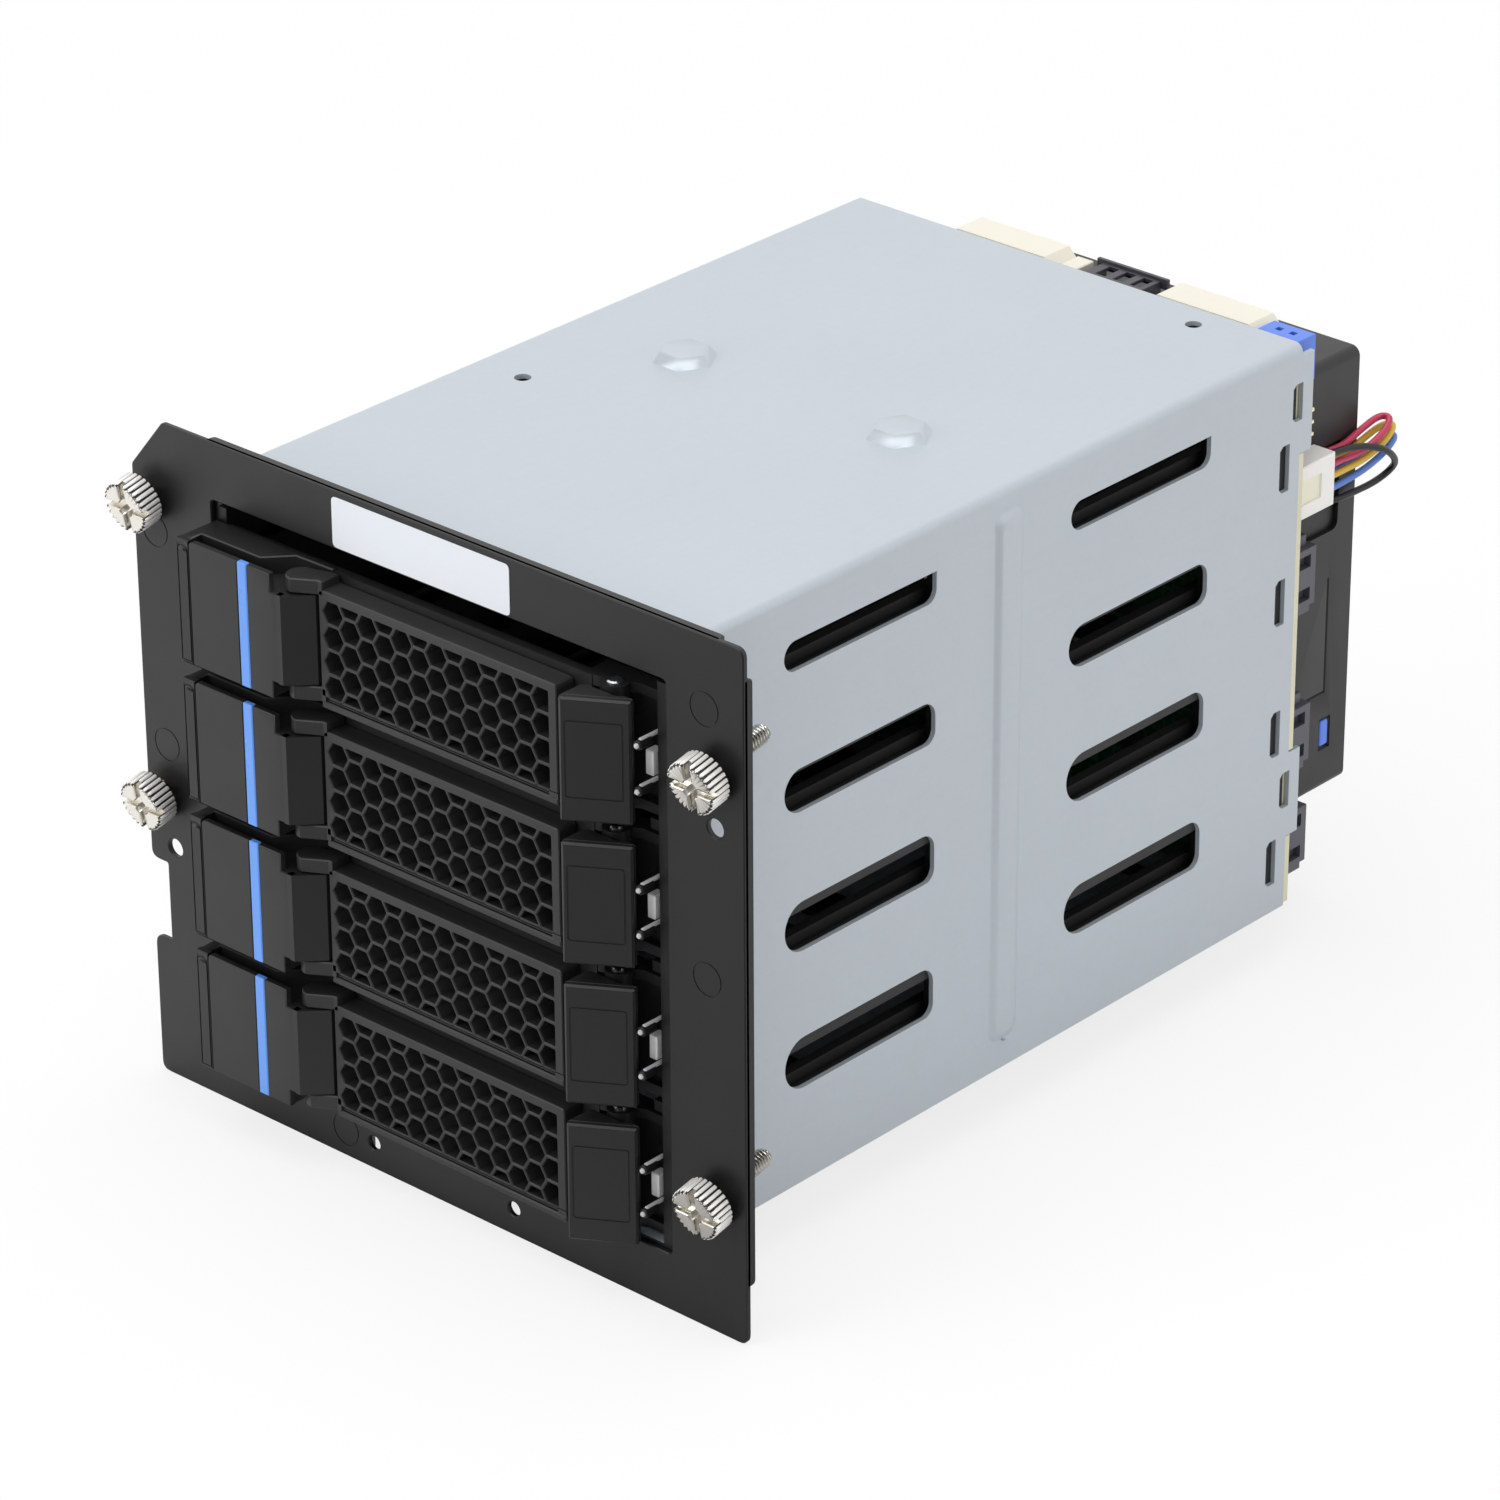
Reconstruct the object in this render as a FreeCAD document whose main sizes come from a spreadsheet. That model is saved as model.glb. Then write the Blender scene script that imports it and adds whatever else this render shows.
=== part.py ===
import FreeCAD, Part
import math
import os

import Sketcher

# Hot swap drive cage: a folded steel cage behind a black front plate holds four drive trays
# on moulded guides, with a connector board and a ducted fan at the back.
# X runs along the front plate with 0 at its middle, Y runs to the back with 0 on the plate's
# back face, and Z runs up with 0 at the height of the two locating holes.

SIZES = {
    # Front plate
    "plate_width": 152.0,
    "plate_height": 138.65,
    "plate_gauge": 1.2,
    "hole_rise": 5.6,
    "locating_spacing": 36.3,
    "locating_radius": 1.5,
    "side_hole_radius": 1.85,
    "side_hole_reach": 69.2,
    "side_hole_low": 44.7,
    "side_hole_high": 96.6,
    "window_top": 121.48,
    "window_corner": 1.0,
    "plate_corner": 2.0,
    "chamfer_across": 8.6,
    "chamfer_down": 10.5,
    "notch_inset": 4.4,
    "notch_bottom": 24.0,
    "notch_top": 40.7,
    "notch_round": 3.0,
    "flange_depth": 2.5,
    "flange_gauge": 1.2,
    "flange_margin": 6.0,
    # Folded cage
    "cage_width": 113.08,
    "cage_shift": 1.29,
    "cage_bottom": 5.94,
    "cage_height": 120.85,
    "cage_depth": 177.5,
    "sheet_gauge": 1.0,
    "bend_radius": 1.9,
    "window_lap": 0.24,
    "tab_reach": 14.4,
    "tab_height": 9.0,
    "tab_rise": 66.2,
    "tab_rise_left": 110.6,
    "tab_rise_right": 119.0,
    "ear_length": 3.6,
    "ear_low_bottom": 21.4,
    "ear_low_top": 39.8,
    "ear_high_bottom": 103.9,
    "ear_high_top": 124.4,
    "vent_front": 29.5,
    "vent_length": 41.2,
    "vent_spacing": 79.2,
    "vent_rise": 18.5,
    "vent_height_1": 6.0,
    "vent_height_2": 8.7,
    "vent_height_3": 10.1,
    "vent_height_4": 10.5,
    "vent_corner": 2.5,
    "vent_clearance": 0.8,
    "rear_slot_width": 3.0,
    "rear_slot_height": 9.8,
    "rear_slot_inset": 3.1,
    "rear_slot_rise": 4.9,
    "slot_chamfer": 0.9,
    "ear_slot_front": 175.0,
    "ear_slot_low": 28.0,
    "ear_slot_high": 111.0,
    "ear_slot_height": 7.8,
    "rib_front": 86.7,
    "rib_width": 8.4,
    "rib_bottom": 12.0,
    "rib_top": 122.2,
    "rib_proud": 0.8,
    "boss_across": 13.0,
    "boss_height": 2.0,
    "boss_slope": 35.0,
    "boss_depth": 94.7,
    "boss_spread": 26.8,
    "roof_hole_radius": 1.65,
    "roof_hole_left": 13.0,
    "roof_hole_front": 67.9,
    "roof_hole_right": 21.45,
    "roof_hole_back": 6.5,
    "floor_tab_width": 11.0,
    "floor_tab_place": -25.5,
    "floor_tab_drop": 9.0,
    # Trays
    "tray_count": 4,
    "tray_pitch": 28.4,
    "tray_lift": 0.26,
    "tray_width": 106.2,
    "tray_length": 168.3,
    "rail_gauge": 2.2,
    "rail_height": 20.0,
    "floor_gauge": 1.2,
    "block_gap": 0.41,
    "block_width": 26.8,
    "block_height": 24.9,
    "block_proud": 9.3,
    "block_round": 0.8,
    "knuckle_slope": 4.5,
    "plate_gap": 0.3,
    "bulkhead_gauge": 2.0,
    "bulkhead_height": 24.5,
    "window_inset": 3.0,
    "window_height": 17.5,
    "rail_window_low": 7.4,
    "rail_window_height": 6.0,
    "lug_reach": 4.0,
    "lug_step": 1.4,
    "recess_room": 0.7,
    "groove_lead": 2.0,
    "floor_rib_front": 6.0,
    "floor_rib_back": 3.0,
    "front_wall": 1.3,
    "trench_left": 2.4,
    "trench_edge": 6.4,
    "trench_back": 1.6,
    "trench_slope_start": 17.7,
    "trench_slope_end": 22.0,
    "stripe_place": 15.8,
    "stripe_width": 2.4,
    "stripe_depth": 0.8,
    "stripe_return": 1.2,
    "stripe_proud": 0.1,
    "drive_hole_across": 95.25,
    "drive_hole_along": 44.45,
    "drive_hole_inset": 41.28,
    "drive_hole_radius": 1.75,
    # Levers
    "hinge_inset": 27.6,
    "hinge_back": 4.7,
    "trunnion_radius": 1.2,
    "running_gap": 0.05,
    "trunnion_length": 2.6,
    "knuckle_radius": 2.9,
    "knuckle_gap": 0.6,
    "arm_root": 3.0,
    "arm_height": 2.9,
    "arm_gap": 0.3,
    "lever_gauge": 4.5,
    "lever_width": 58.9,
    "lever_start": 4.4,
    "lever_drop": 0.8,
    "lever_height": 23.7,
    "lever_corner": 1.0,
    "cell_pitch": 5.0,
    "cell_wall": 0.7,
    "cell_rise": 11.4,
    "cell_field": 19.2,
    "cell_columns": 7,
    "cell_rows": 4,
    "tongue_root": 1.0,
    "tongue_reach": 2.6,
    "tongue_gauge": 1.6,
    "tongue_rise": 8.0,
    "tongue_height": 6.0,
    # Latches
    "latch_left": 41.0,
    "latch_right": 52.0,
    "latch_back": 3.7,
    "latch_height": 24.1,
    "latch_drop": 0.3,
    "latch_room": 0.4,
    "latch_step": 2.5,
    "latch_slope": 1.4,
    "latch_rise": 1.0,
    "latch_chamfer": 1.2,
    "web_width": 3.6,
    "web_root": 0.5,
    "hook_gap": 3.0,
    "hook_root": 0.6,
    "hook_front": 3.0,
    "hook_back": 0.8,
    "catch_height": 4.8,
    "catch_inset": 1.0,
    "catch_width": 1.9,
    "catch_depth": 2.6,
    "pin_place": 45.0,
    "pin_back": 0.2,
    "pin_radius": 1.5,
    "barrel_radius": 2.4,
    "lug_radius": 2.7,
    "lug_gauge": 2.0,
    "spring_height": 2.4,
    "spring_radius": 2.3,
    "pipe_place": 53.4,
    "pipe_radius": 0.6,
    "pipe_low": 5.8,
    "pipe_high": 15.0,
    "pipe_proud": 1.6,
    # Guides
    "guide_gauge": 2.0,
    "guide_top": 120.0,
    "ledge_height": 2.1,
    "ledge_reach": 2.9,
    "ledge_front": 1.0,
    "slide_gap": 0.3,
    # Connector board and its connectors
    "board_gauge": 1.6,
    "board_bottom": 6.4,
    "board_top": 125.4,
    "board_corner": 2.0,
    "board_edge": 0.2,
    "board_gap": 0.3,
    "air_slot_width": 23.0,
    "air_slot_spacing": 27.6,
    "air_slot_rise": 11.0,
    "air_slot_height": 9.0,
    "socket_width": 42.0,
    "socket_height": 6.0,
    "socket_length": 8.0,
    "socket_rise": 2.5,
    "socket_shift": -12.0,
    "slot_height": 1.2,
    "slot_depth": 5.0,
    "top_connector_bottom": 115.0,
    "top_connector_top": 126.2,
    "power_depth": 7.7,
    "power_width": 26.4,
    "power_place": -18.6,
    "power_spacing": 50.8,
    "contact_pitch": 5.08,
    "contact_radius": 1.8,
    "contact_floor": 2.0,
    "shell_corner": 2.0,
    "signal_left": 0.0,
    "signal_right": 17.6,
    "signal_depth": 8.2,
    "signal_proud": 0.4,
    "signal_pitch": 4.4,
    "signal_window_start": 2.64,
    "signal_window_width": 3.08,
    "signal_window_front": 3.0,
    "signal_window_back": 1.6,
    "signal_window_depth": 3.0,
    "signal_wall": 1.2,
    "signal_floor": 2.0,
    "signal_roof": 3.4,
    "signal_root": 2.5,
    "jumper_left": -5.1,
    "jumper_right": -1.0,
    "jumper_drop": 1.5,
    "header_left": 45.4,
    "header_right": 55.4,
    "header_depth": 5.5,
    "header_bottom": 116.4,
    "header_top": 125.9,
    "header_hole_radius": 0.9,
    "header_hole_depth": 4.0,
    "pin_pitch": 2.54,
    "pin_side": 0.64,
    "pin_column": 55.0,
    "pin_rise": 107.4,
    "pin_reach": 6.0,
    "plug_left": 50.0,
    "plug_right": 55.8,
    "plug_bottom": 87.6,
    "plug_height": 11.2,
    "plug_end": 192.0,
    "header_base": 1.2,
    "recess_depth": 0.5,
    "recess_inset": 3.0,
    "recess_inset_top": 2.5,
    "data_left": 50.4,
    "data_right": 54.8,
    "data_depth": 9.1,
    "data_height": 16.1,
    "data_rise_1": 9.6,
    "data_rise_2": 32.2,
    "data_rise_3": 66.4,
    "data_wall": 1.0,
    "data_slit": 1.0,
    "data_foot": 2.0,
    # Fan and duct
    "fan_size": 92.0,
    "fan_depth": 25.0,
    "fan_corner": 4.0,
    "fan_bore": 44.6,
    "fan_hole_spacing": 82.5,
    "fan_hole_radius": 2.15,
    "fan_inset": 1.0,
    "duct_wall": 0.9,
    "duct_gap": 0.1,
    "duct_right": 49.8,
    "duct_bottom": 20.5,
    "duct_end": 206.6,
    "duct_corner": 2.0,
    "cutout_end": 201.4,
    "cutout_bottom": 77.6,
    "cutout_top": 96.6,
    "hub_radius": 16.5,
    "hub_gap": 1.0,
    "motor_gauge": 2.4,
    "strut_width": 3.0,
    "strut_root": 0.6,
    "shaft_floor": 0.6,
    "shaft_reach": 1.6,
    "shaft_radius": 1.5,
    "blade_count": 7,
    "blade_tip": 41.0,
    "blade_gauge": 1.3,
    "blade_root": 1.5,
    "blade_chord": 6.9,
    "blade_rise": 5.7,
    "blade_growth": 1.45,
    "insert_bottom": 30.5,
    "insert_height": 5.2,
    "insert_length": 2.6,
    # Thumbscrews
    "screw_inset_left": 4.2,
    "screw_inset_right": 7.15,
    "screw_rise_1": 117.9,
    "screw_rise_2": 56.3,
    "screw_rise_3": 107.8,
    "screw_rise_4": 22.9,
    "screw_tilt": 12.0,
    "screw_head_radius": 5.3,
    "screw_head_length": 4.9,
    "screw_standoff": 1.9,
    "screw_neck_radius": 1.5,
    "screw_thread_radius": 1.95,
    "screw_thread_start": 1.6,
    "screw_length": 13.0,
    "screw_slot": 1.2,
    "screw_slot_reach": 3.3,
    # Bare label plate
    "label_left": -23.2,
    "label_right": 20.9,
    "label_bottom": 121.9,
    "label_height": 10.0,
    "label_gauge": 0.15,
    # Fan leads
    "wire_diameter": 1.4,
}

WIRES = {
    "fan_wire_black": [
        (53.2, 192.0, 97.0), (53.2, 196.6, 97.0), (55.4, 202.4, 96.6), (56.8, 207.4, 94.4),
        (56.2, 211.4, 90.6), (53.9, 212.4, 87.4), (52.4, 209.2, 85.4), (51.4, 204.4, 84.8),
        (50.7, 199.4, 84.5), (48.7, 197.2, 84.3),
    ],
    "fan_wire_red": [
        (53.0, 192.0, 94.5), (53.0, 197.4, 94.5), (53.6, 203.6, 94.4), (54.4, 208.6, 96.4),
        (53.9, 212.4, 98.8), (50.9, 212.2, 98.5), (50.8, 206.4, 97.2), (50.7, 199.6, 95.3),
        (48.7, 197.4, 95.1),
    ],
    "fan_wire_yellow": [
        (53.0, 192.0, 92.0), (53.0, 197.6, 92.0), (53.8, 204.2, 92.6), (54.4, 210.0, 94.8),
        (53.7, 213.8, 96.9), (50.9, 213.6, 96.2), (50.8, 207.4, 95.0), (50.7, 199.6, 93.0),
        (48.7, 197.4, 92.8),
    ],
    "fan_wire_blue": [
        (53.0, 192.0, 89.4), (53.0, 197.8, 89.4), (53.8, 204.4, 90.4), (54.4, 210.4, 92.6),
        (53.7, 214.4, 94.4), (50.9, 214.4, 93.6), (50.8, 207.6, 92.2), (50.7, 199.6, 90.6),
        (48.7, 197.4, 90.4),
    ],
}

MARGIN = 5.0
OVERCUT = 1.0
OUTPUT = "parts"


class Size:
    """A number together with the sheet expression that gives it."""

    def __init__(self, text, number):
        self.text = text
        self.number = number

    def __add__(self, other):
        other = as_size(other)
        return Size(f"({self.text} + {other.text})", self.number + other.number)

    def __sub__(self, other):
        other = as_size(other)
        return Size(f"({self.text} - {other.text})", self.number - other.number)

    def __mul__(self, other):
        other = as_size(other)
        return Size(f"({self.text} * {other.text})", self.number * other.number)

    def __truediv__(self, other):
        other = as_size(other)
        return Size(f"({self.text} / {other.text})", self.number / other.number)

    def __neg__(self):
        return Size(f"(0 - {self.text})", -self.number)

    def __radd__(self, other):
        return as_size(other) + self

    def __rsub__(self, other):
        return as_size(other) - self

    def __rmul__(self, other):
        return as_size(other) * self


def as_size(value):
    """Gives a plain number the form of a Size."""
    return value if isinstance(value, Size) else Size(f"({float(value)})", float(value))


class Sheet:
    """The document's table of sizes, whose aliases read as attributes."""

    def __init__(self, document):
        self.table = document.addObject("Spreadsheet::Sheet", "Sizes")
        for row, (alias, number) in enumerate(SIZES.items(), start=1):
            self.table.set(f"A{row}", alias)
            self.table.set(f"B{row}", str(number))
            self.table.setAlias(f"B{row}", alias)
        document.recompute()

    def __getattr__(self, alias):
        return Size(f"Sizes.{alias}", float(SIZES[alias]))


DOC = FreeCAD.newDocument("drive_cage")
size = Sheet(DOC)


# Places that several pieces share

plate_left = -size.plate_width / 2
plate_right = size.plate_width / 2
plate_bottom = -size.hole_rise
plate_top = plate_bottom + size.plate_height
plate_front = -size.plate_gauge

cage_left = size.cage_shift - size.cage_width / 2
cage_right = size.cage_shift + size.cage_width / 2
cage_top = size.cage_bottom + size.cage_height
floor_top = size.cage_bottom + size.sheet_gauge

tray_bottom = floor_top + size.tray_lift + size.tray_pitch * (size.tray_count - 1)
tray_left = size.cage_shift - size.tray_width / 2
tray_right = size.cage_shift + size.tray_width / 2
block_left = cage_left + size.window_lap + size.block_gap
block_right = block_left + size.block_width
block_front = plate_front - size.block_proud
knuckle_face = block_right + size.knuckle_slope
hinge_x = block_left + size.hinge_inset
hinge_y = block_front + size.hinge_back
lever_left = hinge_x + size.lever_start
lever_right = lever_left + size.lever_width
lever_back = plate_front - size.plate_gap
lever_front = lever_back - size.lever_gauge
lever_bottom = tray_bottom - size.lever_drop
bulkhead_front = plate_front
recess_back = size.lug_radius + size.recess_room
recess_left = size.latch_left - size.plate_gap * 2
pin_y = -size.pin_back
trays = range(int(size.tray_count.number))

board_front = size.cage_depth
board_back = board_front + size.board_gauge
duct_size = size.fan_size + (size.duct_wall + size.duct_gap) * 2
duct_left = size.duct_right - duct_size
duct_top = size.duct_bottom + duct_size
fan_x = size.duct_right - duct_size / 2
fan_z = size.duct_bottom + duct_size / 2
fan_back = size.duct_end - size.fan_inset
fan_front = fan_back - size.fan_depth


# Ways to draw and build

def value_of(number):
    """The plain number of a Size."""
    return as_size(number).number


def fix_point(sketch, geometry, place, u, v):
    """Ties one point of the sketch to the sheet."""
    across = sketch.addConstraint(Sketcher.Constraint("DistanceX", geometry, place, value_of(u)))
    sketch.setExpression(f"Constraints[{across}]", as_size(u).text)
    up = sketch.addConstraint(Sketcher.Constraint("DistanceY", geometry, place, value_of(v)))
    sketch.setExpression(f"Constraints[{up}]", as_size(v).text)


def add_arc(sketch, start, end, centre_u):
    """Adds the arc from start to end round a centre at centre_u, and says which end is which."""
    rise = (end.x ** 2 - start.x ** 2 + end.y ** 2 - start.y ** 2) - 2 * centre_u * (end.x - start.x)
    centre = FreeCAD.Vector(centre_u, rise / (2 * (end.y - start.y)), 0)
    turn = (start - centre).cross(end - centre).z
    first, last = (start, end) if turn > -1e-6 else (end, start)
    angles = [math.atan2(point.y - centre.y, point.x - centre.x) for point in (first, last)]
    if angles[1] < angles[0]:
        angles[1] += 2 * math.pi
    circle = Part.Circle(centre, FreeCAD.Vector(0, 0, 1), (start - centre).Length)
    geometry = sketch.addGeometry(Part.ArcOfCircle(circle, angles[0], angles[1]), False)
    return (geometry, 1, 2) if turn > -1e-6 else (geometry, 2, 1)


def add_outline(sketch, path):
    """Adds a closed outline. A corner with a third value starts an arc round that place across."""
    points = [FreeCAD.Vector(value_of(corner[0]), value_of(corner[1]), 0) for corner in path]
    stretches = []
    for index, corner in enumerate(path):
        start, end = points[index], points[(index + 1) % len(path)]
        if len(corner) == 2:
            line = sketch.addGeometry(Part.LineSegment(start, end), False)
            stretches.append((line, 1, 2))
        else:
            stretches.append(add_arc(sketch, start, end, value_of(corner[2])))
    for index, (geometry, start_place, _) in enumerate(stretches):
        before, _, end_place = stretches[index - 1]
        sketch.addConstraint(Sketcher.Constraint("Coincident", before, end_place, geometry, start_place))
        fix_point(sketch, geometry, start_place, path[index][0], path[index][1])
        if len(path[index]) == 3:
            centre = sketch.addConstraint(
                Sketcher.Constraint("DistanceX", geometry, 3, value_of(path[index][2])))
            sketch.setExpression(f"Constraints[{centre}]", as_size(path[index][2]).text)


def add_circle(sketch, u, v, radius):
    """Adds a circle tied to the sheet."""
    centre = FreeCAD.Vector(value_of(u), value_of(v), 0)
    circle = sketch.addGeometry(
        Part.Circle(centre, FreeCAD.Vector(0, 0, 1), value_of(radius)), False)
    fix_point(sketch, circle, 3, u, v)
    across = sketch.addConstraint(Sketcher.Constraint("Radius", circle, value_of(radius)))
    sketch.setExpression(f"Constraints[{across}]", as_size(radius).text)


def rectangle(left, right, bottom, top):
    """The corners of an upright rectangle."""
    return [(left, bottom), (right, bottom), (right, top), (left, top)]


def rounded(left, right, bottom, top, radius):
    """The outline of a rectangle with four equal round corners."""
    return [
        (left + radius, bottom), (right - radius, bottom, right - radius),
        (right, bottom + radius), (right, top - radius, right - radius),
        (right - radius, top), (left + radius, top, left + radius),
        (left, top - radius), (left, bottom + radius, left + radius),
    ]


def new_body(name):
    """A body whose label is the piece's name."""
    body = DOC.addObject("PartDesign::Body", name)
    body.Label = name
    body.AllowCompound = True
    return body


def draw(body, name, plane, level, outlines=(), circles=()):
    """Draws on one of the body's own planes, moved to a level along its third axis."""
    sketch = body.newObject("Sketcher::SketchObject", name)
    support = [item for item in body.Origin.OriginFeatures if item.Role == plane + "_Plane"][0]
    sketch.AttachmentSupport = [(support, "")]
    sketch.MapMode = "FlatFace"
    offset = -as_size(level) if plane == "XZ" else as_size(level)
    sketch.setExpression(".AttachmentOffset.Base.z", offset.text)
    for path in outlines:
        add_outline(sketch, path)
    for u, v, radius in circles:
        add_circle(sketch, u, v, radius)
    return sketch


def pad(body, name, plane, start, stop, outlines=(), circles=()):
    """Adds what is drawn, from start to stop along the plane's third axis."""
    sketch = draw(body, name + "_drawing", plane, start, outlines, circles)
    feature = body.newObject("PartDesign::Pad", name)
    feature.Profile = sketch
    feature.setExpression("Length", (as_size(stop) - start).text)
    feature.Reversed = plane == "XZ"
    sketch.Visibility = False
    body.Tip = feature
    return feature


def pocket(body, name, plane, start, stop, outlines=(), circles=()):
    """Cuts what is drawn, from start to stop along the plane's third axis."""
    DOC.recompute()
    volume = body.Shape.Volume
    sketch = draw(body, name + "_drawing", plane, start, outlines, circles)
    feature = body.newObject("PartDesign::Pocket", name)
    feature.Profile = sketch
    feature.setExpression("Length", (as_size(stop) - start).text)
    feature.Reversed = plane != "XZ"
    body.Tip = feature
    DOC.recompute()
    if body.Shape.Volume > volume - 1e-4:
        raise RuntimeError(f"{name} cuts nothing")
    return feature


def origin_axis(body, role):
    """One of the body's own axes."""
    return [item for item in body.Origin.OriginFeatures if item.Role == role][0]


def row_of(body, name, source, axis, spacing, count, reverse=False):
    """Repeats one feature in a row along one of the body's axes."""
    pattern = body.newObject("PartDesign::LinearPattern", name)
    pattern.Originals = [source]
    pattern.Direction = (origin_axis(body, axis), [""])
    pattern.Mode = "Spacing"
    pattern.setExpression("Offset", as_size(spacing).text)
    pattern.setExpression("Occurrences", as_size(count).text)
    pattern.Reversed = reverse
    body.Tip = pattern
    return pattern


def grid_of(body, name, source, across, across_count, up, up_count):
    """Repeats one feature in columns along X and rows along Z."""
    grid = body.newObject("PartDesign::MultiTransform", name)
    steps = []
    for axis, spacing, count in (("X_Axis", across, across_count), ("Z_Axis", up, up_count)):
        step = body.newObject("PartDesign::LinearPattern", f"{name}_{axis[0].lower()}")
        step.Direction = (origin_axis(body, axis), [""])
        step.Mode = "Spacing"
        step.setExpression("Offset", as_size(spacing).text)
        step.setExpression("Occurrences", as_size(count).text)
        steps.append(step)
    grid.Originals = [source]
    grid.Transformations = steps
    body.Tip = grid
    return grid


def round_edges(body, name, radius, chosen):
    """Rounds the edges whose box passes the test."""
    DOC.recompute()
    base = body.Tip
    names = [f"Edge{number}" for number, edge in enumerate(base.Shape.Edges, start=1)
             if chosen(edge.BoundBox)]
    if not names:
        raise RuntimeError(f"{name} finds no edge")
    fillet = body.newObject("PartDesign::Fillet", name)
    fillet.Base = (base, names)
    fillet.setExpression("Radius", as_size(radius).text)
    body.Tip = fillet
    return fillet


def upright_at(u, v):
    """A test for an upright edge at one place across and back."""
    def chosen(box):
        return (box.ZLength > 1 and box.XLength < 0.01 and box.YLength < 0.01
                and abs(box.XMin - value_of(u)) < 0.01 and abs(box.YMin - value_of(v)) < 0.01)
    return chosen


def repeat(source, name, index):
    """Places a copy of a top tray's piece on a lower tray."""
    body = new_body(name)
    base = body.newObject("PartDesign::FeatureBase", name + "_base")
    base.BaseFeature = source
    body.Tip = base
    body.setExpression(".Placement.Base.z", (-size.tray_pitch * index).text)
    return body


# Front plate and the folded cage

def build_front_plate():
    """Black plate with its window, holes and the narrow flanges bent back along two edges."""
    body = new_body("front_plate")
    edge = size.plate_corner
    outline = [
        (plate_left + edge, plate_bottom), (plate_right - edge, plate_bottom, plate_right - edge),
        (plate_right, plate_bottom + edge), (plate_right, plate_top - edge, plate_right - edge),
        (plate_right - edge, plate_top), (plate_left + size.chamfer_across, plate_top),
        (plate_left, plate_top - size.chamfer_down),
        (plate_left, size.notch_top + size.notch_round, plate_left + size.notch_round),
        (plate_left + size.notch_round, size.notch_top),
        (plate_left + size.notch_inset, size.notch_top),
        (plate_left + size.notch_inset, size.notch_bottom),
        (plate_left + edge, size.notch_bottom, plate_left + edge),
        (plate_left, size.notch_bottom - edge), (plate_left, plate_bottom + edge, plate_left + edge),
    ]
    window = rounded(cage_left + size.window_lap, cage_right, size.cage_bottom + size.window_lap,
                     size.window_top, size.window_corner)
    holes = [(side * size.locating_spacing / 2, as_size(0), size.locating_radius)
             for side in (as_size(-1), as_size(1))]
    holes += [(size.side_hole_reach, size.side_hole_high, size.side_hole_radius),
              (-size.side_hole_reach, size.side_hole_low, size.side_hole_radius)]
    holes += [(x, z, size.side_hole_radius) for x, z in screw_places()]
    pad(body, "plate_sheet", "XZ", plate_front, 0, [outline, window], holes)
    flange_end = plate_front + size.flange_depth
    pad(body, "top_flange", "XZ", plate_front, flange_end, [rectangle(
        plate_left + size.chamfer_across + size.flange_margin, plate_right - size.flange_margin,
        plate_top - size.flange_gauge, plate_top)])
    pad(body, "side_flange", "XZ", plate_front, flange_end, [rectangle(
        plate_right - size.flange_gauge, plate_right,
        plate_bottom + size.flange_margin * 2, plate_top - size.flange_margin)])
    return body


def screw_places():
    """The four thumbscrew holes, across and up."""
    left = plate_left + size.screw_inset_left
    right = plate_right - size.screw_inset_right
    return [(left, size.screw_rise_1), (left, size.screw_rise_2),
            (right, size.screw_rise_3), (right, size.screw_rise_4)]


def vent_bottoms():
    """The lower edge of each row of vents, from the top tray down."""
    return [tray_bottom + size.vent_rise - size.tray_pitch * row for row in trays]


def vent_heights():
    """The height of each row of vents, from the top tray down."""
    return [size.vent_height_1, size.vent_height_2, size.vent_height_3, size.vent_height_4]


def vent_outlines():
    """Both columns of side vents: a round front end, a sharp upper and a round lower back corner."""
    outlines = []
    for column in range(2):
        front = size.vent_front + size.vent_spacing * column
        back = front + size.vent_length
        for bottom, height in zip(vent_bottoms(), vent_heights()):
            top = bottom + height
            end = front + height / 2
            corner = size.vent_corner
            outlines.append([
                (end, bottom), (back - corner, bottom, back - corner),
                (back, bottom + corner), (back, top), (end, top, end),
            ])
    return outlines


def rear_slot(front, low, height):
    """A small upright slot near the back edge, with its two front corners cut off."""
    back, top, cut = front + size.rear_slot_width, low + height, size.slot_chamfer
    return [(front + cut, low), (back, low), (back, top), (front + cut, top),
            (front, top - cut), (front, low + cut)]


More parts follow.
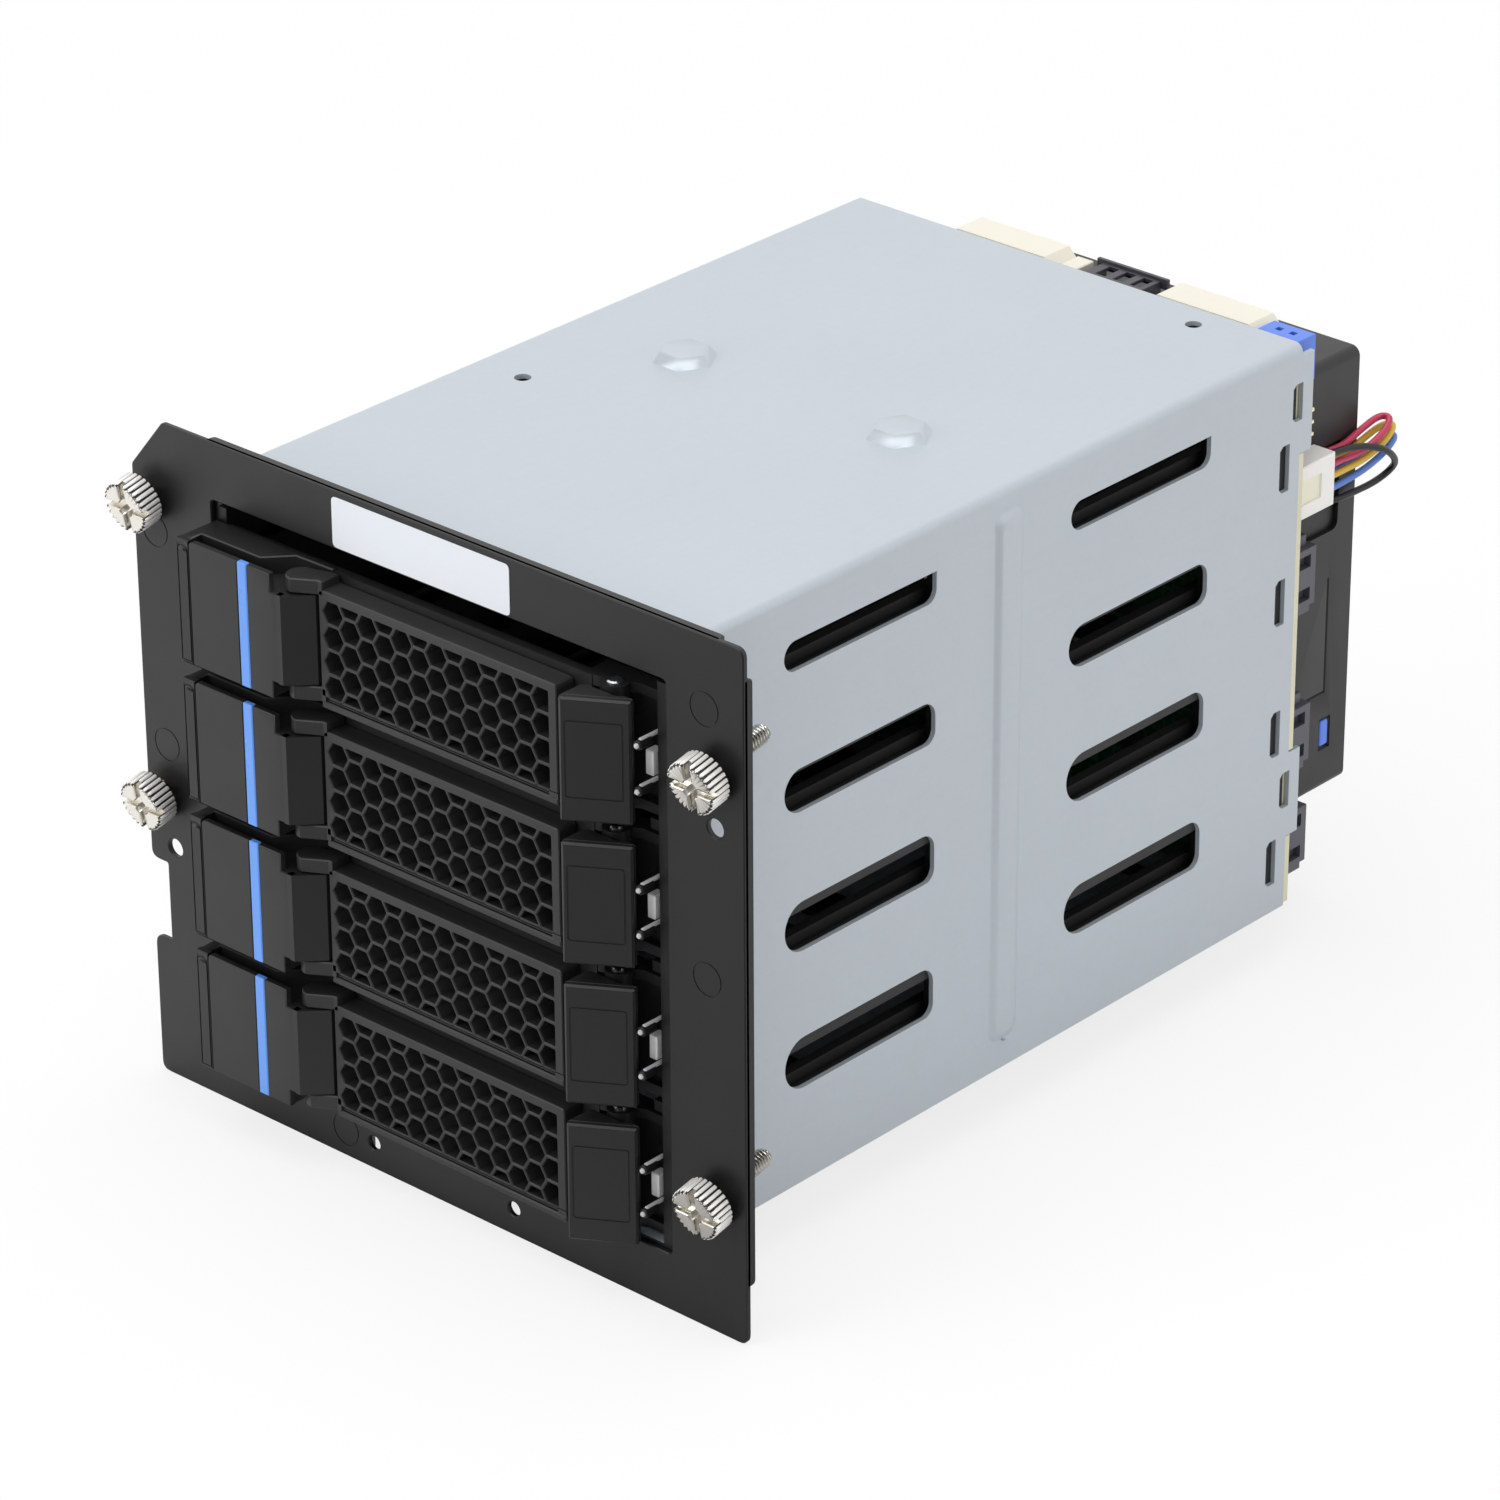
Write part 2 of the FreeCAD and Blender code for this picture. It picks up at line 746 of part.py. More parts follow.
def build_cage_shell():
    """Roof and side walls folded from one sheet, with vents, ribs, bosses, tabs and ears."""
    body = new_body("cage_shell")
    gauge, bend = size.sheet_gauge, size.bend_radius
    left, right, bottom, top = cage_left, cage_right, size.cage_bottom, cage_top
    fold = [
        (left, bottom), (left + gauge, bottom), (left + gauge, top - bend, left + bend),
        (left + bend, top - gauge), (right - bend, top - gauge, right - bend),
        (right - gauge, top - bend), (right - gauge, bottom), (right, bottom),
        (right, top - bend, right - bend), (right - bend, top),
        (left + bend, top, left + bend), (left, top - bend),
    ]
    pad(body, "fold", "XZ", 0, size.cage_depth, [fold])
    half = size.tab_height / 2
    tabs = [rectangle(right - gauge, right + size.tab_reach, rise - half, rise + half)
            for rise in (size.tab_rise, size.tab_rise_right)]
    tabs += [rectangle(left - size.tab_reach, left + gauge, rise - half, rise + half)
             for rise in (size.tab_rise, size.tab_rise_left)]
    pad(body, "front_tabs", "XZ", 0, gauge, tabs)
    ears = [rectangle(size.cage_depth - gauge, size.cage_depth + size.ear_length, low, high)
            for low, high in ((size.ear_low_bottom, size.ear_low_top),
                              (size.ear_high_bottom, size.ear_high_top))]
    pad(body, "left_ears", "YZ", left, left + gauge, ears)
    pad(body, "right_ears", "YZ", right - gauge, right, ears)
    rib = rounded(size.rib_front, size.rib_front + size.rib_width, size.rib_bottom, size.rib_top,
                  size.bend_radius * 2)
    pad(body, "left_rib", "YZ", left - size.rib_proud, left, [rib])
    pad(body, "right_rib", "YZ", right, right + size.rib_proud, [rib])
    reach = size.boss_across / 2
    lean = reach * math.sin(math.radians(60))
    bosses = [[(middle - reach, size.boss_depth), (middle - reach / 2, size.boss_depth - lean),
               (middle + reach / 2, size.boss_depth - lean), (middle + reach, size.boss_depth),
               (middle + reach / 2, size.boss_depth + lean),
               (middle - reach / 2, size.boss_depth + lean)]
              for middle in (size.cage_shift - size.boss_spread, size.cage_shift + size.boss_spread)]
    boss = pad(body, "roof_bosses", "XY", top, top + size.boss_height, bosses)
    boss.setExpression("TaperAngle", (-size.boss_slope).text)
    pocket(body, "vents", "YZ", left - MARGIN, right + MARGIN, vent_outlines())
    slots = [rear_slot(size.cage_depth - size.rear_slot_inset - size.rear_slot_width,
                       tray_bottom + size.rear_slot_rise - size.tray_pitch * row, size.rear_slot_height)
             for row in trays]
    slots += [rear_slot(size.ear_slot_front, low, size.ear_slot_height)
              for low in (size.ear_slot_low, size.ear_slot_high)]
    pocket(body, "rear_slots", "YZ", left - MARGIN, right + MARGIN, slots)
    holes = [(left + size.roof_hole_left, size.roof_hole_front, size.roof_hole_radius),
             (right - size.roof_hole_right, size.cage_depth - size.roof_hole_back,
              size.roof_hole_radius)]
    pocket(body, "roof_holes", "XY", top - MARGIN, top + MARGIN, (), holes)
    return body


def build_cage_floor():
    """Bottom sheet between the walls, with one tab folded down behind the front plate."""
    body = new_body("cage_floor")
    gauge = size.sheet_gauge
    pad(body, "floor_sheet", "XY", size.cage_bottom, floor_top, [rectangle(
        cage_left + gauge, cage_right - gauge, as_size(0), size.cage_depth)])
    pad(body, "floor_tab", "XZ", 0, gauge, [rectangle(
        size.floor_tab_place - size.floor_tab_width / 2,
        size.floor_tab_place + size.floor_tab_width / 2,
        size.cage_bottom - size.floor_tab_drop, floor_top)])
    return body


def build_guide(name, inner, outer, ledge_end):
    """Moulded liner of one wall, with a ledge under each tray above the lowest."""
    body = new_body(name)
    low, high = (inner, outer) if value_of(inner) < value_of(outer) else (outer, inner)
    pad(body, name + "_wall", "YZ", low, high, [rectangle(
        as_size(0), size.cage_depth - size.slide_gap, floor_top, size.guide_top)])
    windows = []
    for column in range(2):
        front = size.vent_front + size.vent_spacing * column - size.vent_clearance
        back = front + size.vent_length + size.vent_clearance * 2
        windows += [rectangle(front, back, bottom - size.vent_clearance,
                              bottom + height + size.vent_clearance)
                    for bottom, height in zip(vent_bottoms(), vent_heights())]
    pocket(body, name + "_windows", "YZ", low - MARGIN, high + MARGIN, windows)
    shelf_low, shelf_high = (low, ledge_end) if value_of(ledge_end) > value_of(high) else (ledge_end, high)
    top = tray_bottom - size.slide_gap
    ledge = pad(body, name + "_ledge", "YZ", shelf_low, shelf_high, [rectangle(
        size.ledge_front, size.tray_length, top - size.ledge_height, top)])
    row_of(body, name + "_ledges", ledge, "Z_Axis", size.tray_pitch, size.tray_count - 1, True)
    return body


# Trays, levers and latches

def block_plan():
    """The front block seen from above."""
    return [(block_left, block_front), (block_right, block_front),
            (knuckle_face, block_front + size.knuckle_slope), (knuckle_face, -size.plate_gap),
            (block_left, -size.plate_gap)]


def build_tray():
    """Tray with its front block, bulkhead, rails, floor, latch lugs and light pipe grooves."""
    body = new_body("tray_1")
    base = tray_bottom
    block_top = base + size.block_height
    wall_top = base + size.bulkhead_height
    pad(body, "block", "XY", base, block_top, [block_plan()])
    round_edges(body, "block_edge", size.block_round, upright_at(block_left, block_front))
    bulkhead_back = bulkhead_front + size.bulkhead_gauge
    gauge = size.bulkhead_gauge
    pad(body, "bulkhead", "XY", base, wall_top, [[
        (tray_left, bulkhead_front), (recess_left, bulkhead_front),
        (recess_left, recess_back), (tray_right, recess_back), (tray_right, recess_back + gauge),
        (recess_left - gauge, recess_back + gauge), (recess_left - gauge, bulkhead_back),
        (tray_left, bulkhead_back),
    ]])
    inset = size.window_inset
    pocket(body, "bulkhead_window", "XZ", bulkhead_front - size.recess_room, bulkhead_back + OVERCUT,
           [rectangle(lever_left + inset, lever_right - inset, base + inset,
                      base + inset + size.window_height)])
    step = recess_back - size.lug_step
    lug = [(recess_left - gauge, size.pipe_radius - gauge), (size.pin_place, pin_y),
           (size.pin_place + size.lug_reach, step), (tray_right, step),
           (tray_right, recess_back + gauge), (recess_left - gauge, recess_back + gauge)]
    for name, low, high in (("low", base, base + size.lug_gauge),
                            ("high", wall_top - size.lug_gauge, wall_top)):
        pad(body, f"{name}_lug", "XY", low, high, [lug])
        pad(body, f"{name}_lug_nose", "XY", low, high, (),
            [(size.pin_place, pin_y, size.lug_radius)])
    pocket(body, "pin_hole", "XY", base - MARGIN, wall_top + MARGIN, (),
           [(size.pin_place, pin_y, size.pin_radius)])
    rail_inner = size.rail_gauge
    rails = [rectangle(tray_left, tray_left + rail_inner, bulkhead_front, size.tray_length),
             rectangle(tray_right - rail_inner, tray_right, recess_back, size.tray_length)]
    pad(body, "rails", "XY", base, base + size.rail_height, rails)
    window_low = base + size.rail_window_low
    windows = [rectangle(size.vent_front + size.vent_spacing * column,
                         size.vent_front + size.vent_spacing * column + size.vent_length,
                         window_low, window_low + size.rail_window_height)
               for column in range(2)]
    pocket(body, "rail_windows", "YZ", tray_left - OVERCUT, tray_right + OVERCUT, windows)
    pad(body, "tray_floor", "XY", base, base + size.floor_gauge, [
        rectangle(tray_left, tray_right, recess_back, size.tray_length),
        ])
    open_left = size.cage_shift - size.drive_hole_across / 2 + MARGIN
    open_right = size.cage_shift + size.drive_hole_across / 2 - MARGIN
    span = (size.tray_length - recess_back) / 3
    openings = [rectangle(open_left, open_right, recess_back + span * index + size.floor_rib_front,
                          recess_back + span * (index + 1) - size.floor_rib_back)
                for index in range(3)]
    through = base + size.floor_gauge + size.running_gap
    pocket(body, "floor_windows", "XY", base - OVERCUT, through, openings)
    first = size.tray_length - size.drive_hole_inset
    holes = [(size.cage_shift + size.drive_hole_across / 2 * side, place, size.drive_hole_radius)
             for side in (-1, 1) for place in (first, first - size.drive_hole_along)]
    pocket(body, "drive_holes", "XY", base - OVERCUT, through, (), holes)
    groove = size.pipe_radius + size.duct_gap
    grooves = [rectangle(recess_back - size.groove_lead, size.tray_length + OVERCUT,
                         base + rise - groove, base + rise + groove)
               for rise in (size.pipe_low, size.pipe_high)]
    pocket(body, "pipe_grooves", "YZ", size.pipe_place - groove, tray_right + OVERCUT, grooves)
    cut_knuckles(body, base, block_top)
    cut_trench(body, block_top)
    cut_stripe_seat(body, base, block_top)
    return body


def cut_knuckles(body, base, block_top):
    """Notches for the lever's arms and the bores for its trunnions."""
    reach = size.knuckle_radius + size.knuckle_gap
    notch = [rectangle(hinge_x - reach - size.knuckle_gap, knuckle_face + OVERCUT,
                       block_front - OVERCUT, hinge_y + reach)]
    depth = size.arm_height + size.arm_gap * 2
    pocket(body, "low_notch", "XY", base - OVERCUT, base + depth, notch)
    pocket(body, "high_notch", "XY", block_top - depth, block_top + OVERCUT, notch)
    bore = [(hinge_x, hinge_y, size.trunnion_radius + size.running_gap)]
    bore_depth = size.trunnion_length + size.arm_gap
    pocket(body, "low_bore", "XY", base + depth, base + depth + bore_depth, (), bore)
    pocket(body, "high_bore", "XY", block_top - depth - bore_depth, block_top - depth, (), bore)


def cut_trench(body, block_top):
    """Open trench in the top of the block, behind its thin front wall."""
    left, wall_back = block_left + size.trench_left, block_front + size.front_wall
    depth = size.arm_height + size.arm_gap * 2
    pocket(body, "trench", "XY", block_top - depth, block_top + OVERCUT, [[
        (left, wall_back), (knuckle_face + OVERCUT, wall_back),
        (knuckle_face + OVERCUT, -size.trench_back),
        (block_left + size.trench_slope_end, -size.trench_back),
        (block_left + size.trench_slope_start, -size.trench_edge), (left, -size.trench_edge),
    ]])


def cut_stripe_seat(body, base, block_top):
    """Groove down the front of the block and over its upper edge."""
    left = block_left + size.stripe_place
    right = left + size.stripe_width
    deep = size.stripe_depth
    pocket(body, "stripe_groove", "XY", base - OVERCUT, block_top + OVERCUT,
           [rectangle(left, right, block_front - OVERCUT, block_front + deep)])
    pocket(body, "stripe_top_groove", "XY", block_top - deep, block_top + OVERCUT,
           [rectangle(left, right, block_front - OVERCUT, block_front + size.stripe_return)])


def build_stripe():
    """Coloured bar that fills the groove and stands a little proud of it."""
    body = new_body("stripe_1")
    left = block_left + size.stripe_place
    right = left + size.stripe_width
    top = tray_bottom + size.block_height
    proud = size.stripe_proud
    pad(body, "stripe_bar", "YZ", left, right, [[
        (block_front - proud, tray_bottom), (block_front + size.stripe_depth, tray_bottom),
        (block_front + size.stripe_depth, top - size.stripe_depth),
        (block_front + size.stripe_return, top - size.stripe_depth),
        (block_front + size.stripe_return, top + proud), (block_front - proud, top + proud),
    ]])
    return body


def build_lever():
    """Honeycomb panel with two arms, whose trunnions turn in the front block."""
    body = new_body("lever_1")
    base = tray_bottom
    top = lever_bottom + size.lever_height
    pad(body, "panel", "XZ", lever_front, lever_back,
        [rounded(lever_left, lever_right, lever_bottom, top, size.lever_corner)])
    knuckle = size.knuckle_radius
    arm = [[(hinge_x, hinge_y - knuckle), (lever_left, lever_front),
            (lever_left + size.arm_root, lever_front), (lever_left + size.arm_root, lever_back),
            (lever_left, lever_back),
            (lever_left, hinge_y + knuckle), (hinge_x, hinge_y + knuckle)]]
    low = base + size.arm_gap
    high = base + size.block_height - size.arm_gap - size.arm_height
    for name, level in (("low", low), ("high", high)):
        pad(body, f"{name}_arm", "XY", level, level + size.arm_height, arm)
        pad(body, f"{name}_knuckle", "XY", level, level + size.arm_height, (),
            [(hinge_x, hinge_y, knuckle)])
    trunnion = [(hinge_x, hinge_y, size.trunnion_radius)]
    low_top = low + size.arm_height
    pad(body, "low_trunnion", "XY", low_top, low_top + size.trunnion_length, (), trunnion)
    pad(body, "high_trunnion", "XY", high - size.trunnion_length, high, (), trunnion)
    low = base + size.tongue_rise
    tongue_back = lever_back - size.arm_gap
    pad(body, "tongue", "XZ", tongue_back - size.tongue_gauge, tongue_back, [rectangle(
        lever_right - size.tongue_root, lever_right + size.tongue_reach,
        low, low + size.tongue_height)])
    cut_honeycomb(body)
    return body


def cut_honeycomb(body):
    """Thirteen columns of cells, four whole cells alternating with three and two part ones."""
    pitch = size.cell_pitch
    slant = math.radians(30)
    column = pitch * math.cos(slant)
    half = (pitch - size.cell_wall) / 2
    reach = half / math.cos(slant)
    middle = tray_bottom + size.cell_rise
    columns, rows = size.cell_columns, size.cell_rows
    first = (lever_left + lever_right) / 2 - column * (columns - 1)

    def cell(u, v):
        return [(u - reach, v), (u - reach / 2, v - half), (u + reach / 2, v - half), (u + reach, v),
                (u + reach / 2, v + half), (u - reach / 2, v + half)]

    start, stop = lever_front - OVERCUT, lever_back + OVERCUT
    cells = pocket(body, "odd_cell", "XZ", start, stop, [cell(first, middle - pitch * (rows - 1) / 2)])
    grid_of(body, "odd_cells", cells, column * 2, columns, pitch, rows)
    cells = pocket(body, "even_cell", "XZ", start, stop,
                   [cell(first + column, middle - pitch * (rows - 2) / 2)])
    grid_of(body, "even_cells", cells, column * 2, columns - 1, pitch, rows - 1)
    edge = size.cell_field / 2
    inner = pitch * rows / 2 - half
    spread = reach / 2 + (edge - inner) * math.tan(slant)
    u = first + column
    part_cells = [
        [(u - reach / 2, middle + inner), (u + reach / 2, middle + inner),
         (u + spread, middle + edge), (u - spread, middle + edge)],
        [(u - spread, middle - edge), (u + spread, middle - edge),
         (u + reach / 2, middle - inner), (u - reach / 2, middle - inner)],
    ]
    cells = pocket(body, "part_cell", "XZ", start, stop, part_cells)
    row_of(body, "part_cells", cells, "X_Axis", column * 2, columns - 1)


def build_latch():
    """Sloping button that turns on an upright pin, with the hook beside the lever's tongue."""
    body = new_body("latch_1")
    base = tray_bottom
    left, right = size.latch_left, size.latch_right
    behind = pin_y - size.lug_radius - size.latch_room
    bottom = base - size.latch_drop
    pad(body, "button", "XY", bottom, bottom + size.latch_height, [[
        (left, block_front), (right, -size.latch_back), (right, behind + size.latch_rise),
        (right - size.latch_step, behind + size.latch_rise),
        (right - size.latch_step - size.latch_slope, behind),
        (left + size.latch_chamfer, behind), (left, behind - size.latch_chamfer),
    ]])
    low = base + size.lug_gauge + size.arm_gap
    high = base + size.bulkhead_height - size.lug_gauge - size.spring_height - size.arm_gap * 2
    barrel = [(size.pin_place, pin_y, size.barrel_radius)]
    pad(body, "barrel", "XY", low, high, (), barrel)
    half = size.web_width / 2
    web = [rectangle(size.pin_place - half, size.pin_place + half, behind - size.web_root, pin_y)]
    pad(body, "barrel_web", "XY", low, high, web)
    hook_low = base + size.tongue_rise
    pad(body, "hook", "XZ", behind - size.hook_front, behind - size.hook_back, [rectangle(
        lever_right + size.hook_gap, left + size.hook_root, hook_low, hook_low + size.tongue_height)])
    pocket(body, "pin_bore", "XY", low - OVERCUT, high + OVERCUT, (),
           [(size.pin_place, pin_y, size.pin_radius + size.running_gap)])
    return body


def build_latch_pin():
    """Steel pin held in the tray's two lugs."""
    body = new_body("latch_pin_1")
    pad(body, "pin_rod", "XY", tray_bottom + size.arm_gap, tray_bottom + size.block_height, (),
        [(size.pin_place, pin_y, size.pin_radius)])
    return body


def build_latch_spring():
    """Closely wound torsion spring round the latch pin, as the sleeve that its turns fill."""
    body = new_body("latch_spring_1")
    top = tray_bottom + size.bulkhead_height - size.lug_gauge
    pad(body, "spring_turns", "XY", top - size.spring_height, top, (), [
        (size.pin_place, pin_y, size.spring_radius),
        (size.pin_place, pin_y, size.pin_radius + size.running_gap),
    ])
    return body


def build_light_pipes():
    """Two clear rods that lie in the grooves of the right rail."""
    body = new_body("light_pipes_1")
    rods = [(size.pipe_place, tray_bottom + rise, size.pipe_radius)
            for rise in (size.pipe_low, size.pipe_high)]
    pad(body, "pipe_rods", "XZ", -size.pipe_proud, size.tray_length, (), rods)
    return body


def build_catch():
    """Small steel block behind the latch's free end."""
    body = new_body("catch_1")
    left = size.latch_right - size.catch_inset
    low = tray_bottom + size.tongue_rise
    pad(body, "catch_block", "XY", low, low + size.catch_height, [rectangle(
        left, left + size.catch_width, recess_back - size.catch_depth, recess_back)])
    return body


# Connector board and its connectors

def build_backplane():
    """Board across the back of the cage, notched at the ears, with slots for the air."""
    body = new_body("backplane")
    out_right, in_right = cage_right - size.board_edge, cage_right - size.sheet_gauge - size.board_gap
    out_left, in_left = cage_left + size.board_edge, cage_left + size.sheet_gauge + size.board_gap
    gap, corner = size.board_gap, size.board_corner
    low_bottom, low_top = size.ear_low_bottom - gap, size.ear_low_top + gap
    high_bottom, top = size.ear_high_bottom - gap, size.board_top
    outline = [
        (out_left, size.board_bottom), (out_right, size.board_bottom), (out_right, low_bottom),
        (in_right, low_bottom), (in_right, low_top), (out_right, low_top), (out_right, high_bottom),
        (in_right, high_bottom), (in_right, top - corner, in_right - corner),
        (in_right - corner, top), (in_left + corner, top, in_left + corner),
        (in_left, top - corner), (in_left, high_bottom), (out_left, high_bottom),
        (out_left, low_top), (in_left, low_top), (in_left, low_bottom), (out_left, low_bottom),
    ]
    pad(body, "board", "XZ", board_front, board_back, [outline])
    slot_low = tray_bottom + size.air_slot_rise
    slots = []
    for column in (-1, 0, 1):
        middle = fan_x + size.air_slot_spacing * column
        slots.append(rectangle(middle - size.air_slot_width / 2, middle + size.air_slot_width / 2,
                               slot_low, slot_low + size.air_slot_height))
    air = pocket(body, "air_slot", "XZ", board_front - OVERCUT, board_back + OVERCUT, slots)
    row_of(body, "air_slots", air, "Z_Axis", size.tray_pitch, size.tray_count - 1, True)
    return body


def build_drive_connectors():
    """One slotted connector for each tray on the front of the board."""
    body = new_body("drive_connectors")
    middle = size.cage_shift + size.socket_shift
    left, right = middle - size.socket_width / 2, middle + size.socket_width / 2
    low = tray_bottom + size.socket_rise
    front = board_front - size.socket_length
    slot_low = low + (size.socket_height - size.slot_height) / 2
    socket = pad(body, "socket", "YZ", left, right, [[
        (front, low), (board_front, low), (board_front, low + size.socket_height),
        (front, low + size.socket_height), (front, slot_low + size.slot_height),
        (front + size.slot_depth, slot_low + size.slot_height), (front + size.slot_depth, slot_low),
        (front, slot_low),
    ]])
    row_of(body, "sockets", socket, "Z_Axis", size.tray_pitch, size.tray_count, True)
    return body


def build_power_connectors():
    """Two pale four-way power connectors on the board's upper edge."""
    body = new_body("power_connectors")
    half = size.power_width / 2
    low, high = size.top_connector_bottom, size.top_connector_top
    cut = size.shell_corner
    middles = [size.power_place, size.power_place + size.power_spacing]
    shells = [[(middle - half, low), (middle + half, low), (middle + half, high - cut),
               (middle + half - cut, high), (middle - half + cut, high), (middle - half, high - cut)]
              for middle in middles]
    end = board_back + size.power_depth
    pad(body, "power_shells", "XZ", board_back, end, shells)
    contacts = [(middle + size.contact_pitch * step, (low + high) / 2, size.contact_radius)
                for middle in middles for step in (-1.5, -0.5, 0.5, 1.5)]
    pocket(body, "power_contacts", "XZ", board_back + size.contact_floor, end + OVERCUT, (), contacts)
    return body


def build_signal_connector():
    """Dark connector with three windows, between the power connectors."""
    body = new_body("signal_connector")
    end = board_back + size.signal_depth
    top = size.board_top + size.signal_proud
    pad(body, "signal_shell", "XZ", board_back, end, [rectangle(
        size.signal_left, size.signal_right, size.top_connector_bottom, top)])
    starts = [size.signal_left + size.signal_window_start + size.signal_pitch * index
              for index in range(3)]
    windows = [rectangle(start, start + size.signal_window_width,
                         board_back + size.signal_window_front, end - size.signal_window_back)
               for start in starts]
    pocket(body, "signal_windows", "XY", top - size.signal_window_depth, top + OVERCUT, windows)
    mouth = rectangle(size.signal_left + size.signal_wall, size.signal_right - size.signal_wall,
                      size.top_connector_bottom + size.signal_floor, top - size.signal_roof)
    pocket(body, "signal_mouth", "XZ", board_back + size.signal_root, end + OVERCUT, [mouth])
    return body


def build_jumper_block():
    """Small pale block beside the first power connector."""
    body = new_body("jumper_block")
    end = board_back + size.power_depth
    pad(body, "jumper_shell", "XZ", board_back, end, [rectangle(
        size.jumper_left, size.jumper_right, size.top_connector_bottom,
        size.top_connector_top - size.jumper_drop)])
    return body


def build_blue_header():
    """Blue two-way header at the board's upper right corner."""
    body = new_body("blue_header")
    end = board_back + size.header_depth
    left, right = size.header_left, size.header_right
    pad(body, "header_shell", "XZ", board_back, end,
        [rectangle(left, right, size.header_bottom, size.header_top)])
    third = (right - left) / 3
    middle = (board_back + end) / 2
    holes = [(place, middle, size.header_hole_radius) for place in (left + third, right - third)]
    pocket(body, "header_holes", "XY", size.header_top - size.header_hole_depth,
           size.header_top + OVERCUT, (), holes)
    return body


def build_pin_header():
    """Three bare pins in a strip, and the base that carries the fan plug."""
    body = new_body("pin_header")
    half = size.pin_side / 2
    strip = size.pin_pitch / 2
    low, high = size.pin_rise - strip * 3, size.pin_rise + strip * 3
    pad(body, "pin_strip", "XZ", board_back, board_back + size.pin_pitch,
        [rectangle(size.pin_column - strip, size.pin_column + strip, low, high)])
    pins = [rectangle(size.pin_column - half, size.pin_column + half,
                      size.pin_rise + size.pin_pitch * step - half,
                      size.pin_rise + size.pin_pitch * step + half)
            for step in (-1, 0, 1)]
    pad(body, "bare_pins", "XZ", board_back + size.pin_pitch, board_back + size.pin_reach, pins)
    pad(body, "plug_base", "XZ", board_back, board_back + size.header_base, [rectangle(
        size.plug_left, size.plug_right, size.plug_bottom, size.plug_bottom + size.plug_height)])
    return body


def build_data_connectors():
    """Three upright grey data connectors beside the fan duct."""
    body = new_body("data_connectors")
    end = board_back + size.data_depth
    outlines = []
    mouths = []
    wall = size.data_wall
    slit = size.data_left + wall + size.data_slit
    for low in (size.data_rise_1, size.data_rise_2, size.data_rise_3):
        high = low + size.data_height
        foot = high - wall - size.data_foot
        outlines.append(rectangle(size.data_left, size.data_right, low, high))
        mouths.append([(size.data_left + wall, low + wall), (slit, low + wall), (slit, foot),
                       (size.data_right - wall, foot), (size.data_right - wall, high - wall),
                       (size.data_left + wall, high - wall)])
    pad(body, "data_shells", "XZ", board_back, end, outlines)
    pocket(body, "data_mouths", "XZ", board_back + size.contact_floor, end + OVERCUT, mouths)
    return body


def build_fan_plug():
    """White four-way plug of the fan lead, with a shallow recess in its side."""
    body = new_body("fan_plug")
    start = board_back + size.header_base
    low, high = size.plug_bottom, size.plug_bottom + size.plug_height
    pad(body, "plug_shell", "XZ", start, size.plug_end,
        [rectangle(size.plug_left, size.plug_right, low, high)])
    inset = size.recess_inset
    pocket(body, "plug_recess", "YZ", size.plug_right - size.recess_depth, size.plug_right + OVERCUT,
           [rectangle(start + inset, size.plug_end - inset, low + inset, high - size.recess_inset_top)])
    return body


# Fan and its duct

def build_fan_duct():
    """Square duct round the fan, cut away where the fan plug and its leads pass."""
    body = new_body("fan_duct")
    wall = size.duct_wall
    pad(body, "duct_walls", "XZ", board_back, size.duct_end, [
        rounded(duct_left, size.duct_right, size.duct_bottom, duct_top, size.duct_corner),
        rounded(duct_left + wall, size.duct_right - wall, size.duct_bottom + wall, duct_top - wall,
                size.duct_corner - wall),
    ])
    corner = size.duct_corner
    start, end = board_back - OVERCUT, size.cutout_end
    pocket(body, "duct_cutout", "YZ", size.duct_right - wall - corner, size.duct_right + OVERCUT, [[
        (start, size.cutout_bottom), (end - corner, size.cutout_bottom, end - corner),
        (end, size.cutout_bottom + corner), (end, size.cutout_top), (start, size.cutout_top),
    ]])
    return body


def build_duct_insert():
    """Blue block on the side of the duct."""
    body = new_body("duct_insert")
    end = size.cutout_end
    pad(body, "insert_block", "YZ", size.duct_right, size.duct_right + size.duct_wall, [rectangle(
        end - size.insert_length, end, size.insert_bottom, size.insert_bottom + size.insert_height)])
    return body


def build_fan_frame():
    """Square fan frame with its bore, screw holes, four struts and the motor's plate."""
    body = new_body("fan_frame")
    half = size.fan_size / 2
    corner_holes = [(fan_x + size.fan_hole_spacing / 2 * across, fan_z + size.fan_hole_spacing / 2 * up,
                     size.fan_hole_radius)
                    for across in (-1, 1) for up in (-1, 1)]
    pad(body, "fan_housing", "XZ", fan_front, fan_back,
        [rounded(fan_x - half, fan_x + half, fan_z - half, fan_z + half, size.fan_corner)],
        [(fan_x, fan_z, size.fan_bore)] + corner_holes)
    motor_front = fan_back - size.motor_gauge
    reach = size.fan_bore + size.strut_root
    strut = size.strut_width / 2
    pad(body, "upright_strut", "XZ", motor_front, fan_back,
        [rectangle(fan_x - strut, fan_x + strut, fan_z - reach, fan_z + reach)])
    pad(body, "level_strut", "XZ", motor_front, fan_back,
        [rectangle(fan_x - reach, fan_x + reach, fan_z - strut, fan_z + strut)])
    pad(body, "motor_plate", "XZ", motor_front, fan_back, (), [(fan_x, fan_z, size.hub_radius)])
    pocket(body, "shaft_bore", "XZ", motor_front - OVERCUT, fan_back - size.shaft_floor, (),
           [(fan_x, fan_z, size.shaft_radius + size.running_gap)])
    return body


